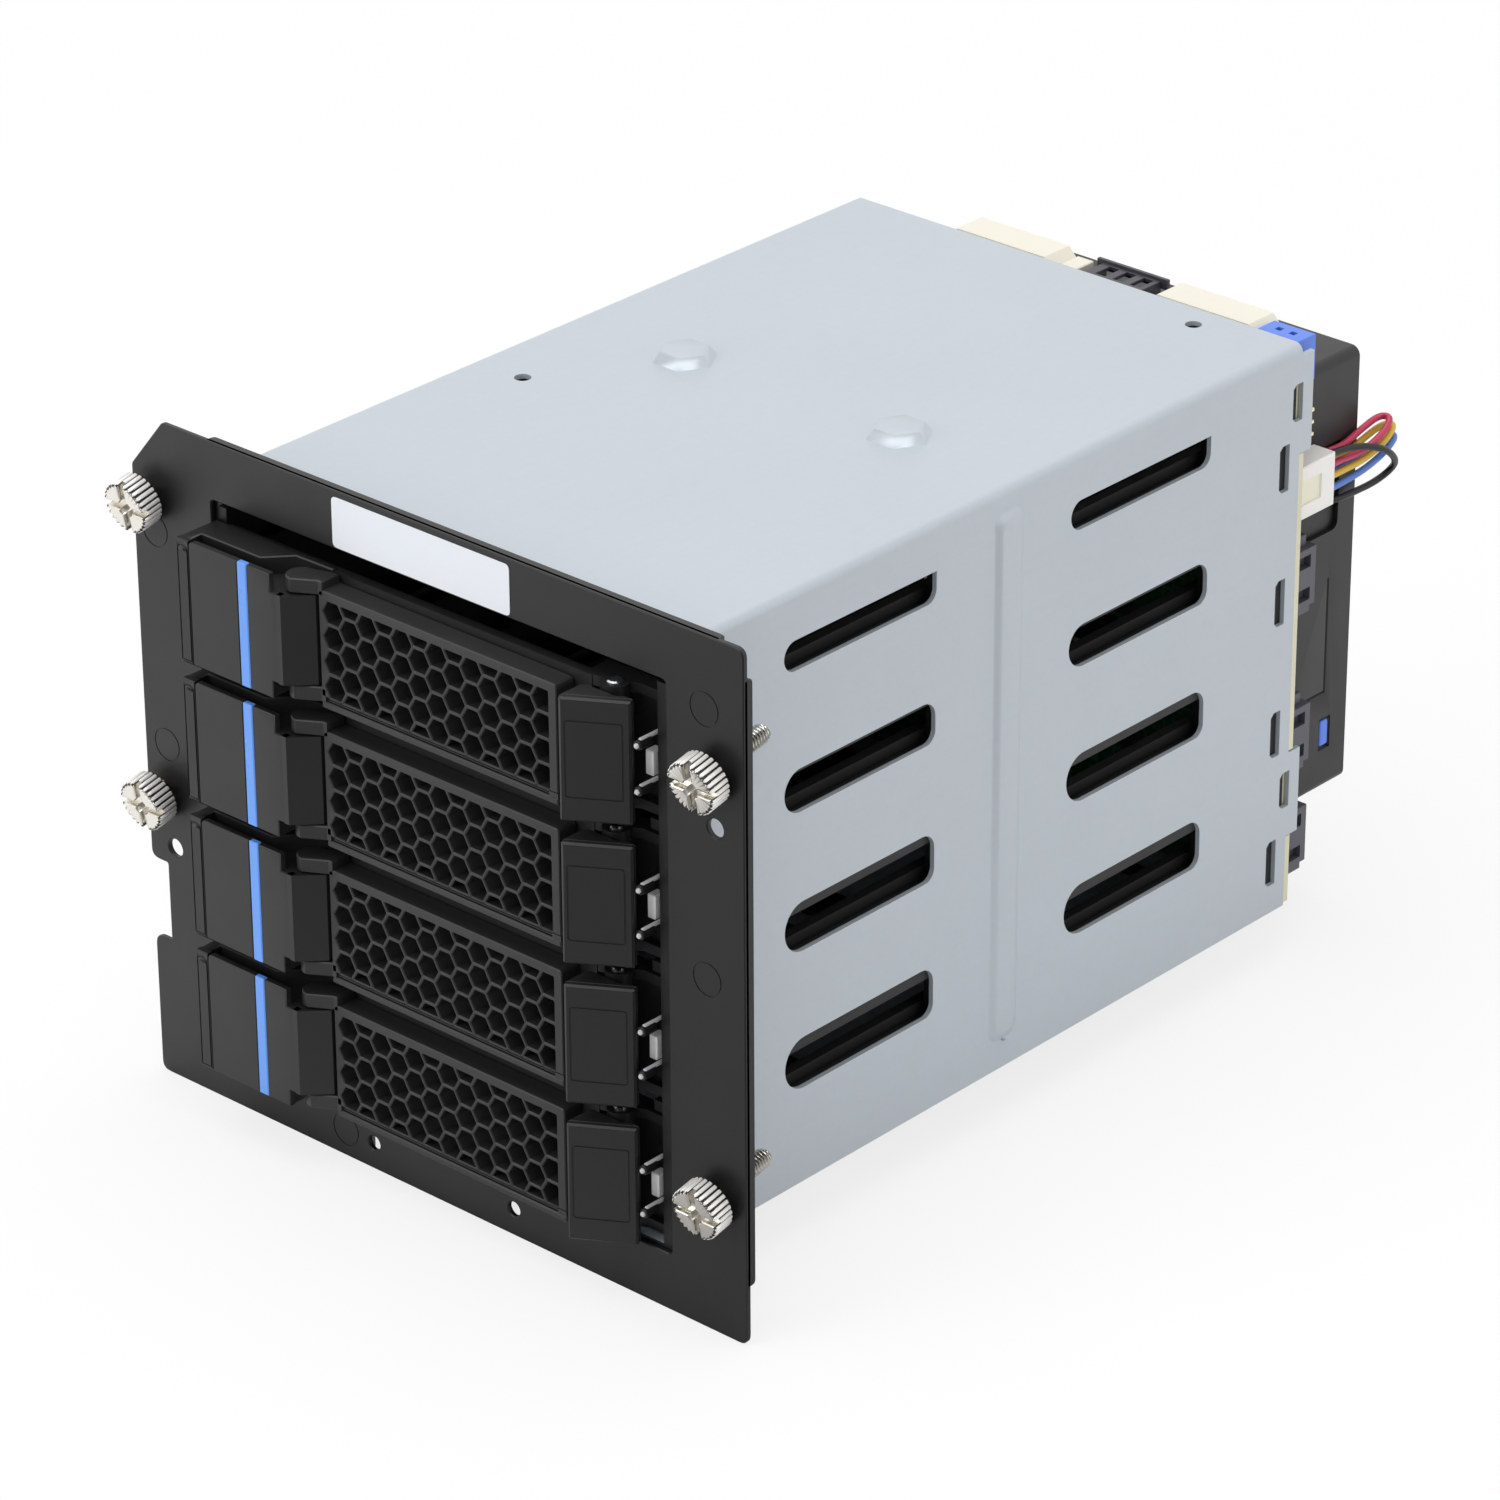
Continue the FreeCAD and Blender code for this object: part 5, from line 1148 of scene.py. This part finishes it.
@dataclass
class Tray:
    """One drive tray: front block, stripe, honeycomb lever, latch and light pipes."""

    number: int
    pitch: float = 28.4
    top_base: float = 92.4
    block_left: float = -54.60
    block_right: float = -27.80
    block_front: float = -10.5
    block_back: float = -0.3
    block_height: float = 24.9
    wall: float = 1.3
    block_rim: float = 1.2
    block_post: float = 2.4
    panel_proud: float = 0.02
    notch_proud: float = 0.025
    pill_round: float = 1.1
    pill_line: Point = (0.2, 0.28)
    stripe_gap: float = 0.06
    knuckle_face: float = -23.3
    knuckle_slope: float = 4.5
    cut: Point = (0.4, -0.85)
    ledge: tuple[Point, ...] = ((-36.9, -6.4), (-32.6, -1.6), (-23.3, -1.4))
    notch_left: float = -30.6
    notch_back: float = -2.3
    notch_height: float = 3.5
    strip: float = 3.05
    stripe: Point = (-38.8, -36.4)
    lever_left: float = -22.6
    lever_right: float = 36.3
    lever_front: float = 6.0
    lever_back: float = 1.5
    lever_drop: float = 0.8
    lever_height: float = 23.7
    cell_pitch: float = 5.0
    cell_wall: float = 0.7
    cell_rise: float = 11.4
    cell_field: float = 19.2
    cell_limit: float = 34.2
    cell_columns: int = 13
    cell_rows: int = 4
    lip_height: float = 1.35
    lip_proud: float = 0.05
    field_start: float = 2.35
    groove_depth: float = 1.0
    groove_ribs: Point = (0.35, 0.75)
    rib_half: float = 0.12
    rib_levels: Point = (1.05, 0.45)
    hinge: Point = (-27.0, -5.8)
    trunnion: Point = (1.2, 2.6)
    knuckle: float = 2.9
    arm_height: float = 2.9
    arm_gap: float = 0.3
    latch_start: Point = (41.0, -10.5)
    latch_end: Point = (52.0, -3.7)
    latch_height: float = 24.1
    latch_drop: float = 0.3
    latch_skin: float = 1.3
    latch_reach: float = 2.7
    square: tuple[float, float, float, float] = (1.1, 1.55, 4.8, 19.7)
    square_line: Point = (0.16, 0.3)
    barrel: Point = (2.3, 19.5)
    barrel_radius: float = 2.4
    hook_rises: Point = (8.0, 14.0)
    tongue_reach: float = 2.6
    pin: Point = (45.0, -0.2)
    pin_radius: float = 1.5
    pipe_rises: Point = (7.0, 16.0)
    pipe_rod: float = 0.42
    pipe_ball: float = 0.52
    pipe_tip: float = 3.9
    pipe_cup: float = 0.95

    @property
    def base(self) -> float:
        """The height of this tray's underside."""
        return self.top_base - self.pitch * (self.number - 1)

    @property
    def body(self) -> str:
        """The tray's body."""
        return f"tray_{self.number}"

    def build(self) -> None:
        """Makes every piece of the tray."""
        self.front_block()
        refine(f"stripe_{self.number}", STRIPE, self.body, 0.42)
        self.lever()
        self.latch()
        self.small_parts()

    def front_block(self) -> None:
        """The tray itself, with a rebuilt front block."""
        base, top = self.base, self.base + self.block_height
        left, right, front = self.block_left, self.block_right, self.block_front
        inner = front + self.wall
        maker = Maker()

        def behind_block(middle: Vector) -> bool:
            return not (middle.x < self.knuckle_face + self.cut[0] and middle.y < self.cut[1])

        maker.take(self.body, behind_block)
        plane = Facing.FRONT.value
        level, rear = -front, -inner
        bend = self.pill_round
        pill = soften(box_path(left + 0.3, left + self.strip - 0.3, base + 0.5, top - bend),
                      (0.1, 0.1, bend, bend))
        strip = box_path(left, left + self.strip - 0.05, base, top)
        maker.slab(plane, strip, rear, level, sunk=[Sunk(pill, *self.pill_line)], edge=0.16, low_edge=0.0)
        bar_left, bar_right = self.stripe[0] - self.stripe_gap, self.stripe[1] + self.stripe_gap
        panel = soften(box_path(left + self.strip + 0.08, bar_left, base, top), (0, 0, 0, 1.0))
        maker.slab(plane, panel, rear, level + self.panel_proud, low_edge=0.0)
        low_notch, high_notch = base + self.notch_height, top - self.notch_height
        right_panel = [(bar_right, base), (self.notch_left, base), (self.notch_left, low_notch),
                       (right, low_notch), (right, high_notch), (self.notch_left, high_notch),
                       (self.notch_left, top), (bar_right, top)]
        maker.slab(plane, right_panel, rear, level + self.panel_proud, low_edge=0.0)
        maker.slab(plane, box_path(*self.stripe, base, top), rear, rear + 0.45, edge=0.0)
        above = Facing.TOP.value
        rim, face = right - self.block_rim, front - self.notch_proud
        middle = [(left, inner), (rim, inner), (rim, face), (right, face),
                  (self.knuckle_face, front + self.knuckle_slope),
                  (self.knuckle_face, self.block_back), (left, self.block_back)]
        maker.slab(above, middle, low_notch, high_notch, edge=0.0)
        lower = [(left, inner), (self.notch_left, inner), (self.notch_left, self.notch_back),
                 (self.knuckle_face, self.notch_back), (self.knuckle_face, self.block_back),
                 (left, self.block_back)]
        maker.slab(above, lower, base, low_notch, edge=0.0, low_edge=0.25)
        post = left + self.block_post
        upper = [(left, inner), (post, inner), (post, self.ledge[0][1]), *self.ledge,
                 (self.knuckle_face, self.block_back), (left, self.block_back)]
        maker.slab(above, upper, high_notch, top, edge=0.22, low_edge=0.0)
        maker.piece(self.body, [TRAY], self.body)

    def cells(self) -> list[Path]:
        """The honeycomb's openings."""
        pitch = self.cell_pitch
        slant = math.radians(30)
        half = (pitch - self.cell_wall) / 2
        reach = half / math.cos(slant)
        column = pitch * math.cos(slant)
        middle = self.base + self.cell_rise
        low, high = middle - self.cell_field / 2, middle + self.cell_field / 2
        first = (self.lever_left + self.lever_right) / 2 - column * (self.cell_columns // 2)
        found = []
        for index in range(self.cell_columns):
            count = self.cell_rows + index % 2
            for row in range(count):
                u, v = first + column * index, middle + pitch * (row - (count - 1) / 2)
                cell = [(u - reach, v), (u - reach / 2, v - half), (u + reach / 2, v - half),
                        (u + reach, v), (u + reach / 2, v + half), (u - reach / 2, v + half)]
                cell = trimmed(trimmed(cell, 1, high), 1, low, -1)
                found.append(soften(trimmed(cell, 0, self.cell_limit), 0.22, 2))
        return found

    def lever(self) -> None:
        """Honeycomb panel, its lower lip and the two arms."""
        base = self.base
        bottom, top = base - self.lever_drop, base - self.lever_drop + self.lever_height
        plane = Facing.FRONT.value
        maker = Maker()
        face = self.lever_front
        left, right, limit, back = self.lever_left, self.lever_right, self.cell_limit, self.lever_back
        lip_top, start = bottom + self.lip_height, bottom + self.field_start
        outline = soften(box_path(left, right, start, top), (0, 0, 1.0, 1.0), 4)
        maker.slab(plane, outline, back, face, self.cells(), low_edge=0.0)
        maker.slab(plane, box_path(left, limit, lip_top, start), back, face - self.groove_depth, edge=0.0)
        for rise in self.groove_ribs:
            rib = box_path(left, limit, start - rise - self.rib_half, start - rise + self.rib_half)
            maker.slab(plane, rib, face - self.rib_levels[0], face - self.rib_levels[1],
                       edge=0.05, low_edge=0.0)
        maker.slab(plane, box_path(limit, right, lip_top, start), back, face, edge=0.0)
        lip = soften(box_path(left, right, bottom, lip_top), (0.4, 0.6, 0, 0), 3)
        maker.slab(plane, lip, back, face + self.lip_proud, edge=0.25, low_edge=0.0)
        self.arms(maker)
        low, high = self.hook_rises
        tongue = box_path(right - 1, right + self.tongue_reach, base + low, base + high)
        maker.slab(plane, tongue, back + 0.3, back + 1.9)
        name = f"lever_{self.number}"
        maker.piece(name, [LEVER], name)

    def arms(self, maker: Maker) -> None:
        """The arms and trunnions that carry the lever."""
        above = Facing.TOP.value
        nose = arc(self.hinge, self.knuckle, [math.radians(90 + 180 * step / 10) for step in range(11)])
        path = nose + box_path(self.lever_left, self.lever_left + 1.0, -self.lever_front, -self.lever_back)
        radius, length = self.trunnion
        low = self.base + self.arm_gap
        high = self.base + self.block_height - self.arm_gap - self.arm_height
        for level, inward in ((low, self.arm_height), (high, 0.0)):
            maker.slab(above, path, level, level + self.arm_height, edge=0.22)
            start = level + inward - (0.0 if inward else length)
            maker.turned(above, self.hinge, [(radius, start), (radius, start + length)], 24)

    def latch(self) -> None:
        """Sloping button with its square panel, barrel and hook."""
        base = self.base - self.latch_drop
        start, end = Vector(self.latch_start), Vector(self.latch_end)
        width = (end - start).length
        along = (end - start).normalized()
        plane = Plane((along.x, along.y, 0.0), (0, 0, 1), (start.x, start.y, base))
        out = Vector((along.y, -along.x))
        above = Facing.TOP.value
        skin = self.latch_skin
        maker = Maker()
        from_left, from_right, low, high = self.square
        square = soften(box_path(from_left, width - from_right, low, high), 0.6, 4)
        button = soften(box_path(0, width, 0, self.latch_height), 0.3, 2)
        panel = Sunk(square, *self.square_line)
        maker.slab(plane, button, -skin, 0.0, sunk=[panel], edge=0.45, low_edge=0.0)
        back = self.pin[1] - self.latch_reach - self.arm_gap - 0.1
        inner_start, inner_end = start - out * skin, end - out * skin
        plan = [(inner_start.x, inner_start.y), (inner_end.x, inner_end.y), (inner_end.x, back + 1),
                (inner_end.x - 2.0, back + 1), (inner_end.x - 3.2, back), (inner_start.x + 0.8, back),
                (inner_start.x, back - 0.8)]
        maker.slab(above, plan, base, base + self.latch_height)
        low, high = (self.base + rise for rise in self.barrel)
        maker.turned(above, self.pin, [(self.barrel_radius, low), (self.barrel_radius, high)])
        neck = box_path(self.pin[0] - 1.8, self.pin[0] + 1.8, back - 0.5, self.pin[1])
        maker.slab(above, neck, low, high, edge=0.0)
        low, high = (self.base + rise for rise in self.hook_rises)
        hook = box_path(self.lever_right + 3, start.x + 0.6, low, high)
        maker.slab(Facing.FRONT.value, hook, -(back - 0.8), -(back - 3))
        name = f"latch_{self.number}"
        maker.piece(name, [LATCH], name)

    def small_parts(self) -> None:
        """Pin, spring, catch and light pipes."""
        number = self.number
        pin, reach = Extent.of(f"latch_pin_{number}"), self.pin_radius
        maker = Maker()
        profile = [(reach - 0.3, pin.bottom), (reach, pin.bottom + 0.3), (reach, pin.top - 0.25),
                   (reach - 0.25, pin.top)]
        maker.turned(Facing.TOP.value, self.pin, profile)
        maker.piece(f"latch_pin_{number}", [STEEL], self.body)
        self.spring()
        # The catch takes the pale copy of spring steel: painted light.
        refine(f"catch_{number}", CATCH_LIT, self.body, 0.18)
        self.pipes()

    def pipes(self) -> None:
        """Two clear rods, each with a round end in a dark cup."""
        name = f"light_pipes_{self.number}"
        box = Extent.of(name)
        maker = Maker()
        plane = Facing.FRONT.value
        rod, tip, cup = self.pipe_rod, self.pipe_tip, self.pipe_cup
        ball = arc((0, tip), self.pipe_ball, [math.radians(-80 + 20 * step) for step in range(9)])
        across = (box.left + box.right) / 2
        for rise in self.pipe_rises:
            middle = self.base + rise
            maker.paint = 0
            maker.turned(plane, (across, middle + 0.8),
                         [(rod, -box.back), (rod, tip - 0.9), (rod * 0.7, tip - 0.7)], 20)
            maker.turned(plane, (across, middle), ball, 20)
            maker.paint = 1
            maker.turned(plane, (across, middle),
                         [(cup, 0.6), (cup, tip - 0.25), (cup - 0.15, tip - 0.1)], 24)
        maker.piece(name, [PIPE, GUIDE], self.body)

    def spring(self) -> None:
        """The latch spring as its closely wound turns."""
        name = f"latch_spring_{self.number}"
        box = Extent.of(name)
        turns, sides, around = 4, 8, 28
        pitch = (box.top - box.bottom) / (turns + 1)
        wire = pitch * 0.48
        reach = (box.right - box.left) / 2 - wire
        maker = Maker()
        rings = []
        for step in range(turns * around + 1):
            turn = 2 * math.pi * step / around
            middle = Vector((self.pin[0] + reach * math.cos(turn), self.pin[1] + reach * math.sin(turn),
                             box.bottom + pitch / 2 + pitch * step / around))
            outward = Vector((math.cos(turn), math.sin(turn), 0.0))
            ring = []
            for side in range(sides):
                angle = 2 * math.pi * side / sides
                spot = middle + outward * (wire * math.cos(angle)) + Vector((0, 0, wire * math.sin(angle)))
                ring.append(maker.mesh.verts.new(spot * MM))
            rings.append(ring)
        maker.stack(rings)
        maker.skin(list(reversed(rings[0])))
        maker.skin(rings[-1])
        maker.piece(name, [SPRING], self.body)


# Connector board and fan

@dataclass
class Rear:
    """Board, connectors, plug, duct and fan."""

    data_windows: tuple[float, ...] = (2.6, 9.6)
    data_window: float = 4.0
    data_rim: float = 1.7
    data_shoulder: float = 2.4
    data_notch: float = 1.6
    data_latch: float = 2.7
    data_sunk: float = 1.6
    data_step: float = 1.3
    header_hole: float = 1.4
    header_depth: float = 3.2
    signal_wall: float = 0.8
    signal_side: float = 1.6
    signal_drop: float = 0.6
    signal_pitch: float = 4.3
    signal_bar: float = 1.9
    signal_rims: Point = (2.2, 1.4)
    strip_back: float = 2.6
    duct_round: float = 2.0
    duct_opening: tuple[float, float, float] = (201.4, 77.6, 96.6)
    mark: tuple[float, float, float, float] = (9.5, 199.4, 42.2, 67.4)
    mark_line: float = 0.6
    insert_window: tuple[float, float, float, float] = (197.9, 201.5, 29.5, 36.6)
    insert_block: tuple[float, float, float, float] = (198.3, 200.7, 30.5, 36.0)

    def build(self) -> None:
        """Makes each piece behind the cage."""
        refine("backplane", BOARD, "cage")
        refine("drive_connectors", SOCKET, "cage", 0.15)
        refine("power_connectors", CREAM, "cage", 0.2)
        refine("jumper_block", CREAM, "cage", 0.2)
        refine("fan_frame", FAN, "cage", 0.2)
        refine("fan_rotor", FAN, "fan_rotor", 0.0, math.radians(40))
        self.signal()
        self.header()
        self.data_connectors()
        self.plug()
        self.pins()
        self.duct()

    def signal(self) -> None:
        """Open shell with three windows in its roof and a thin wall along its back edge."""
        box = Extent.of("signal_connector")
        wall, roof = self.signal_wall, box.top - self.signal_drop
        side, back = self.signal_side, box.back - wall
        left, right = box.left + side, box.right - side
        front_rim, back_rim = self.signal_rims
        above = Facing.TOP.value
        maker = Maker()
        starts = [left + front_rim + self.signal_pitch * index for index in range(3)]
        windows = [box_path(start, start + self.signal_pitch - self.signal_bar, box.front + front_rim,
                            box.back - back_rim) for start in starts]
        maker.slab(above, box_path(left, right, box.front, back), roof - wall, roof, windows, edge=0.1)
        for edge in (left, right - wall):
            upright = box_path(edge, edge + wall, box.front, back)
            maker.slab(above, upright, box.bottom, roof - wall, edge=0.05)
        lower_front = box_path(left + wall, right - wall, box.front, box.front + side)
        maker.slab(above, lower_front, box.bottom, roof - wall, edge=0.05)
        maker.slab(above, box_path(box.left, box.right, back, box.back), roof - side, box.top, edge=0.1)
        maker.piece("signal_connector", [SIGNAL])

    def header(self) -> None:
        """Blue header with two square sockets in its top, their floors painted black as shade."""
        box = Extent.of("blue_header")
        maker = Maker()
        middle, reach = (box.front + box.back) / 2, self.header_hole / 2
        third = (box.right - box.left) / 3
        holes = [box_path(u - reach, u + reach, middle - reach, middle + reach)
                 for u in (box.left + third, box.right - third)]
        path = box_path(box.left, box.right, box.front, box.back)
        # The floors of the sockets take the black finish: painted shade in the deep holes.
        maker.slab(Facing.TOP.value, path, box.bottom, box.top,
                   sunk=[Sunk(hole, self.header_depth, paint=1) for hole in holes], edge=0.15)
        maker.piece("blue_header", [HEADER, PINS])

    def data_connectors(self) -> None:
        """Upright connectors: a body with two latch windows and a notch, and a smaller block on top."""
        box = Extent.of("data_connectors")
        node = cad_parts["data_connectors"].data
        heights = sorted({round(v.co.z / MM, 2) for v in node.vertices if v.co.x / MM > box.right - 0.01})
        plane = Facing.RIGHT.value
        shoulder, notch, ledge = self.data_shoulder, self.data_notch, self.data_notch * 0.8
        back = box.back - self.data_rim
        maker = Maker()
        for low, high in zip(heights[::2], heights[1::2]):
            body = [(box.front, low), (box.back - notch, low), (box.back - notch, low + ledge),
                    (box.back, low + ledge), (box.back, high - shoulder), (box.front, high - shoulder)]
            starts = [low + rise for rise in self.data_windows]
            windows = [Sunk(box_path(back - self.data_window, back, start, start + self.data_latch),
                            self.data_sunk) for start in starts]
            maker.slab(plane, body, box.left, box.right, sunk=windows, edge=0.12)
            maker.slab(plane, box_path(box.front, back, high - shoulder, high), box.left,
                       box.right - self.data_step, edge=0.12)
        maker.piece("data_connectors", [DATA])

    def plug(self) -> None:
        """White plug with a pale brown recess in its side."""
        box = Extent.of("fan_plug")
        maker = Maker()
        core = box_path(box.front + 0.6, box.front + 7.4, box.bottom + 3.0, box.top - 2.9)
        path = box_path(box.front, box.back, box.bottom, box.top)
        maker.slab(Facing.RIGHT.value, path, box.left, box.right,
                   sunk=[Sunk(soften(core, 0.5), 0.5, paint=1)], edge=0.3)
        maker.piece("fan_plug", [PLUG, PLUG_CORE])

    def pins(self) -> None:
        """Black strip with three bare pins."""
        box = Extent.of("pin_header")
        back = box.front + self.strip_back
        maker = Maker()
        maker.take("pin_header", lambda middle: middle.y < back)
        maker.paint = 1
        maker.take("pin_header", lambda middle: middle.y >= back)
        maker.piece("pin_header", [PINS, BRASS])

    def duct(self) -> None:
        """Square duct with a marked panel and the blue block's window in its right side."""
        box = Extent.of("fan_duct")
        maker = Maker()
        right = box.right
        maker.take("fan_duct", lambda middle: middle.x < right - 0.01)
        line = self.mark_line
        near, far, low, high = self.mark
        near += box.front
        mark = [(near, low), (far, low), (far, high), (far - line, high), (far - line, low + line),
                (near, low + line)]
        window = box_path(*self.insert_window)
        corner = self.duct_round
        end, low, high = self.duct_opening
        cutout = soften([(box.front, high), (end, high), (end, low), (box.front, low)],
                        (0, 0, corner, 0), 8)
        side = [(box.front, box.bottom + corner), (box.back, box.bottom + corner),
                (box.back, box.top - corner), (box.front, box.top - corner)] + cutout
        maker.cover(Facing.RIGHT.value, side, right, [Sunk(mark, 0.5), Sunk(window, 0.7)])
        maker.piece("fan_duct", [DUCT], turn=False)
        maker = Maker()
        block = soften(box_path(*self.insert_block), 0.5)
        maker.slab(Facing.RIGHT.value, block, right - 0.75, right + 0.1)
        maker.piece("duct_insert", [INSERT])


def main() -> None:
    """Builds the studio and every piece of the cage."""
    logging.basicConfig(level=logging.INFO, format="%(message)s")
    Studio().build()
    FanLeads().build()
    plate = FrontPlate()
    plate.build()
    for number, place in enumerate(plate.small_holes[2:], start=1):
        Thumbscrew(number, place).build()
    Cage().build()
    for number in range(1, 5):
        Tray(number).build()
    Rear().build()


if __name__ == "__main__":
    main()
